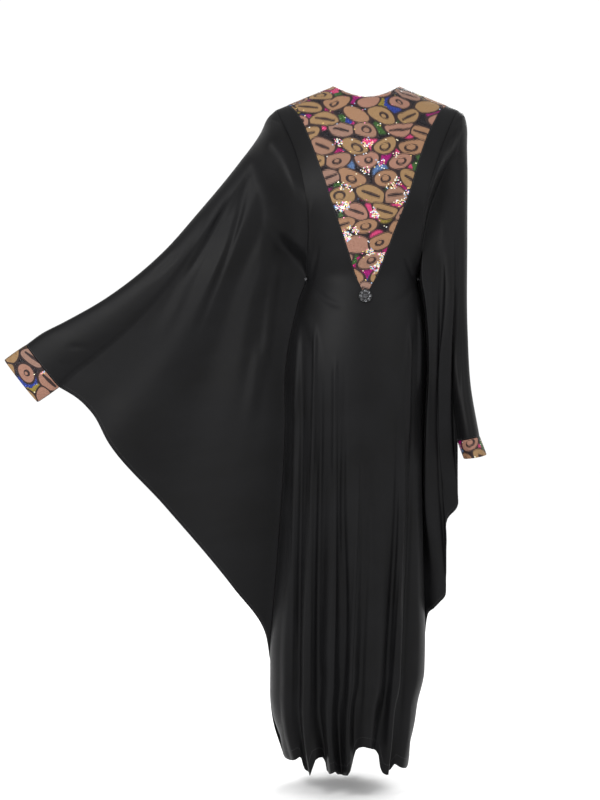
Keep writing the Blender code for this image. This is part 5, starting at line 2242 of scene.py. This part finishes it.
@dataclass
class Kaftan:
    """The whole garment: panels, wings, yoke, cuffs, stones and sewing."""

    nodes: dict[str, Object]
    body: str = "root"
    form: BodyForm = field(default_factory=BodyForm)
    jersey: JerseyFinish = field(default_factory=JerseyFinish)
    pattern: OvalPattern = field(default_factory=OvalPattern)
    # The second colour of each stone finish is painted glints, clouded over the dark body colour.
    clear: StoneFinish = StoneFinish((0.012, 0.012, 0.014), (0.34, 0.35, 0.37), metallic=0.4)
    smoky: StoneFinish = StoneFinish((0.008, 0.008, 0.01), (0.12, 0.12, 0.13))
    dark: StoneFinish = StoneFinish((0.008, 0.008, 0.01), (0.05, 0.05, 0.06))
    pieces: list[Object] = field(default_factory=list)

    front_hem: HemLine = HemLine(
        (
            *((-0.1807, 0.035), (-0.1773, 0.017), (-0.1717, 0.013), (-0.1611, 0.013), (-0.1486, 0.019)),
            *((-0.1382, 0.026), (-0.1351, 0.011), (-0.13, -0.003), (-0.1206, -0.008), (-0.1158, 0.005)),
            *((-0.1086, 0.024), (-0.1014, 0.028), (-0.0931, 0.027), (-0.0883, 0.019), (-0.0858, 0.0)),
            *((-0.0809, -0.004), (-0.0752, 0.001), (-0.068, 0.004), (-0.0627, -0.004), (-0.0522, -0.008)),
            *((-0.0446, -0.004), (-0.0374, 0.005), (-0.0319, 0.022), (-0.0264, 0.042), (-0.0195, 0.049)),
            *((-0.0096, 0.052), (0.0047, 0.049), (0.0163, 0.038), (0.0222, 0.029), (0.0242, 0.004)),
            *((0.0291, -0.005), (0.0375, -0.008), (0.0462, -0.006), (0.0565, 0.008), (0.0628, 0.002)),
            *((0.0734, -0.003), (0.0818, -0.006), (0.088, -0.002), (0.0913, 0.024)),
        )
    )
    back_hem: HemLine = HemLine(
        ((-0.176, 0.014), (-0.12, -0.004), (-0.07, 0.01), (-0.02, -0.006), (0.03, 0.012), (0.088, 0.05))
    )
    bodice_creases: tuple[Crease, ...] = (
        Crease(((-0.117, -0.24), (-0.122, -0.3), (-0.1276, -0.36)), 0.01, 0.003),
        Crease(((0.1148, -0.235), (0.116, -0.3), (0.117, -0.366)), 0.009, 0.0028),
        Crease(((-0.1, -0.33), (-0.112, -0.385), (-0.125, -0.43)), 0.008, -0.0022),
        Crease(((0.07, -0.345), (0.088, -0.385), (0.104, -0.42)), 0.008, -0.0022),
        Crease(((-0.118, -0.42), (-0.085, -0.452), (-0.045, -0.47)), 0.011, -0.002),
        Crease(((0.104, -0.418), (0.07, -0.45), (0.03, -0.468)), 0.011, -0.0018),
        Crease(((-0.13, -0.47), (-0.105, -0.56), (-0.1, -0.64)), 0.014, 0.0022),
        Crease(((0.095, -0.48), (0.085, -0.56), (0.08, -0.62)), 0.013, 0.002),
        Crease(((-0.134, -0.5), (-0.138, -0.825), (-0.142, -1.073), (-0.14, -1.42)), 0.0075, -0.004),
        Crease(((-0.095, -0.52), (-0.099, -0.824), (-0.103, -1.071), (-0.105, -1.42)), 0.0075, -0.0042),
        Crease(((-0.048, -0.56), (-0.052, -0.864), (-0.047, -1.11), (-0.056, -1.42)), 0.008, -0.004),
        Crease(((0.006, -0.76), (-0.003, -0.987), (-0.013, -1.192), (-0.02, -1.4)), 0.008, -0.0034),
        Crease(((0.062, -0.64), (0.058, -0.9), (0.041, -1.18), (0.027, -1.42)), 0.008, -0.0042),
        Crease(((0.0925, -0.6), (0.089, -0.88), (0.076, -1.15), (0.063, -1.42)), 0.007, -0.0036),
        Crease(((-0.147, -0.48), (-0.152, -0.8), (-0.156, -1.1), (-0.159, -1.4)), 0.006, 0.0026),
        Crease(((-0.11, -0.48), (-0.115, -0.76), (-0.12, -1.06), (-0.122, -1.4)), 0.006, 0.003),
        Crease(((-0.066, -0.54), (-0.068, -0.82), (-0.07, -1.1), (-0.077, -1.4)), 0.0065, 0.003),
        Crease(((-0.012, -0.74), (-0.022, -0.92), (-0.034, -1.16), (-0.045, -1.4)), 0.006, 0.0026),
        Crease(((0.078, -0.64), (0.073, -0.9), (0.058, -1.16), (0.034, -1.42)), 0.006, 0.0028),
        Crease(((-0.143, -0.49), (-0.1452, -0.585), (-0.1485, -0.71)), 0.009, 0.0042, fade=0.25),
        Crease(((-0.1078, -0.49), (-0.1095, -0.62), (-0.1135, -0.85)), 0.0065, 0.0048, fade=0.25),
        Crease(((-0.0685, -0.56), (-0.069, -0.68), (-0.0705, -0.84)), 0.008, 0.0042, fade=0.25),
        Crease(((0.0868, -0.49), (0.0862, -0.6), (0.0828, -0.78)), 0.0065, 0.0048, fade=0.25),
        Crease(((0.1075, -0.45), (0.1105, -0.53), (0.108, -0.65)), 0.006, 0.0034, fade=0.25),
        Crease(((-0.11, -0.31), (-0.06, -0.37), (0.0, -0.39)), 0.012, -0.0022, Layer.BACK),
        Crease(((0.105, -0.33), (0.06, -0.385), (0.01, -0.405)), 0.012, -0.0024, Layer.BACK),
        Crease(((-0.115, -0.425), (-0.06, -0.45), (-0.01, -0.455)), 0.011, -0.002, Layer.BACK),
        Crease(((-0.12, -0.13), (-0.1, -0.23), (-0.085, -0.32)), 0.018, 0.003, Layer.BACK),
        Crease(((0.12, -0.14), (0.105, -0.235), (0.09, -0.33)), 0.017, 0.0028, Layer.BACK),
        Crease(((-0.06, -0.47), (-0.075, -0.56), (-0.08, -0.68)), 0.016, 0.0024, Layer.BACK),
        Crease(((0.05, -0.48), (0.06, -0.57), (0.062, -0.65)), 0.015, 0.0022, Layer.BACK),
    )

    def finish(self, piece: Object, slot: str, *nodes: str) -> None:
        """Notes a finished piece.

        Args:
            piece: the piece.
            slot: the slot that its look belongs to; not used.
            *nodes: the CAD nodes that it stands for.
        """
        if nodes:
            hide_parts(*nodes)
        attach(piece, self.body)
        self.pieces.append(piece)

    def panels(self) -> list[BodyPanel]:
        """The front and the back, with their cut sizes.

        Returns:
            Both panels.
        """
        return [
            BodyPanel(self.form, Layer.FRONT, self.bodice_creases, self.front_hem, (0.48, 1.44), 0.5),
            BodyPanel(self.form, Layer.BACK, self.bodice_creases, self.back_hem, (0.5, 1.46), 0.57),
        ]

    def right_cuff(self) -> Cuff:
        """The cuff of the raised wing, open to its full width."""
        cover = SequinCover(self.pattern, seed=6)
        return Cuff(Flank.RIGHT, (-0.0456, 0.0, -0.0317), cover, (0.25, 0.0555))

    def left_cuff(self) -> Cuff:
        """The cuff of the hanging wing, half open to the viewer."""
        cover = SequinCover(self.pattern, (0.02, 0.16), seed=7)
        return Cuff(Flank.LEFT, (0.0125, -0.014, -0.0375), cover, (0.214, 0.0415))

    def build_body(self) -> None:
        """Makes the front, the back, the yoke and their sewing."""
        lines = []
        for panel in self.panels():
            stretches = panel.stretches()
            cloth = panel.build(stretches, self.jersey)
            self.finish(cloth, "black_jersey", panel.layer.name.lower())
            lines += panel.stitch_lines(stretches)
        yoke = Yoke(self.form, SequinCover(self.pattern))
        net, sequins = yoke.build()
        self.finish(net, "sequin_cloth", "yoke")
        self.finish(sequins, "sequin_cloth")
        self.finish(Stitches().build("body_stitches", lines), "black_jersey")

    def build_wing(self, wing: Wing, cuff: Cuff) -> None:
        """Makes a wing, its cuff and their sewing.

        Args:
            wing: the wing.
            cuff: the cuff at its end.
        """
        side = wing.flank.name.lower()
        made = wing.layers()
        cloth = wing.build(made, self.jersey)
        self.finish(cloth, "black_jersey", side + "_wing")
        net, sequins = cuff.build(wing.cuff_ring(made))
        self.finish(net, "sequin_cloth", side + "_cuff")
        self.finish(sequins, "sequin_cloth")
        sewing = Stitches().build(side + "_wing_stitches", wing.stitch_lines(made))
        self.finish(sewing, "black_jersey")

    def build_stones(self) -> None:
        """Makes the brooch and the two waist stones, finer, in the places of their CAD nodes."""
        for name, node in self.nodes.items():
            if "setting" in name:
                self.finish(Setting(MetalFinish()).build(node), "silver_setting", node.name)
            elif name == "brooch_centre":
                self.finish(Stone(self.dark, sides=16).build(node), "dark_stone", node.name)
            elif "stone" in name:
                stone = Stone(self.smoky if "waist" in name else self.clear)
                self.finish(stone.build(node), "clear_stone", node.name)

    def build(self) -> list[Object]:
        """Makes everything.

        Returns:
            The pieces.
        """
        self.build_body()
        self.build_wing(RightWing(self.form), self.right_cuff())
        self.build_wing(LeftWing(self.form), self.left_cuff())
        self.build_stones()
        return self.pieces


def main() -> None:
    """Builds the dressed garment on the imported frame."""
    logging.basicConfig(level=logging.INFO, format="%(name)s %(message)s")
    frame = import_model()
    for piece in Kaftan(frame["nodes"]).build():
        log.info("%s: %d faces", piece.name, len(piece.data.polygons))
    Studio().build()
    bpy.context.view_layer.update()
    log.info("sizes written")


if __name__ == "__main__":
    main()
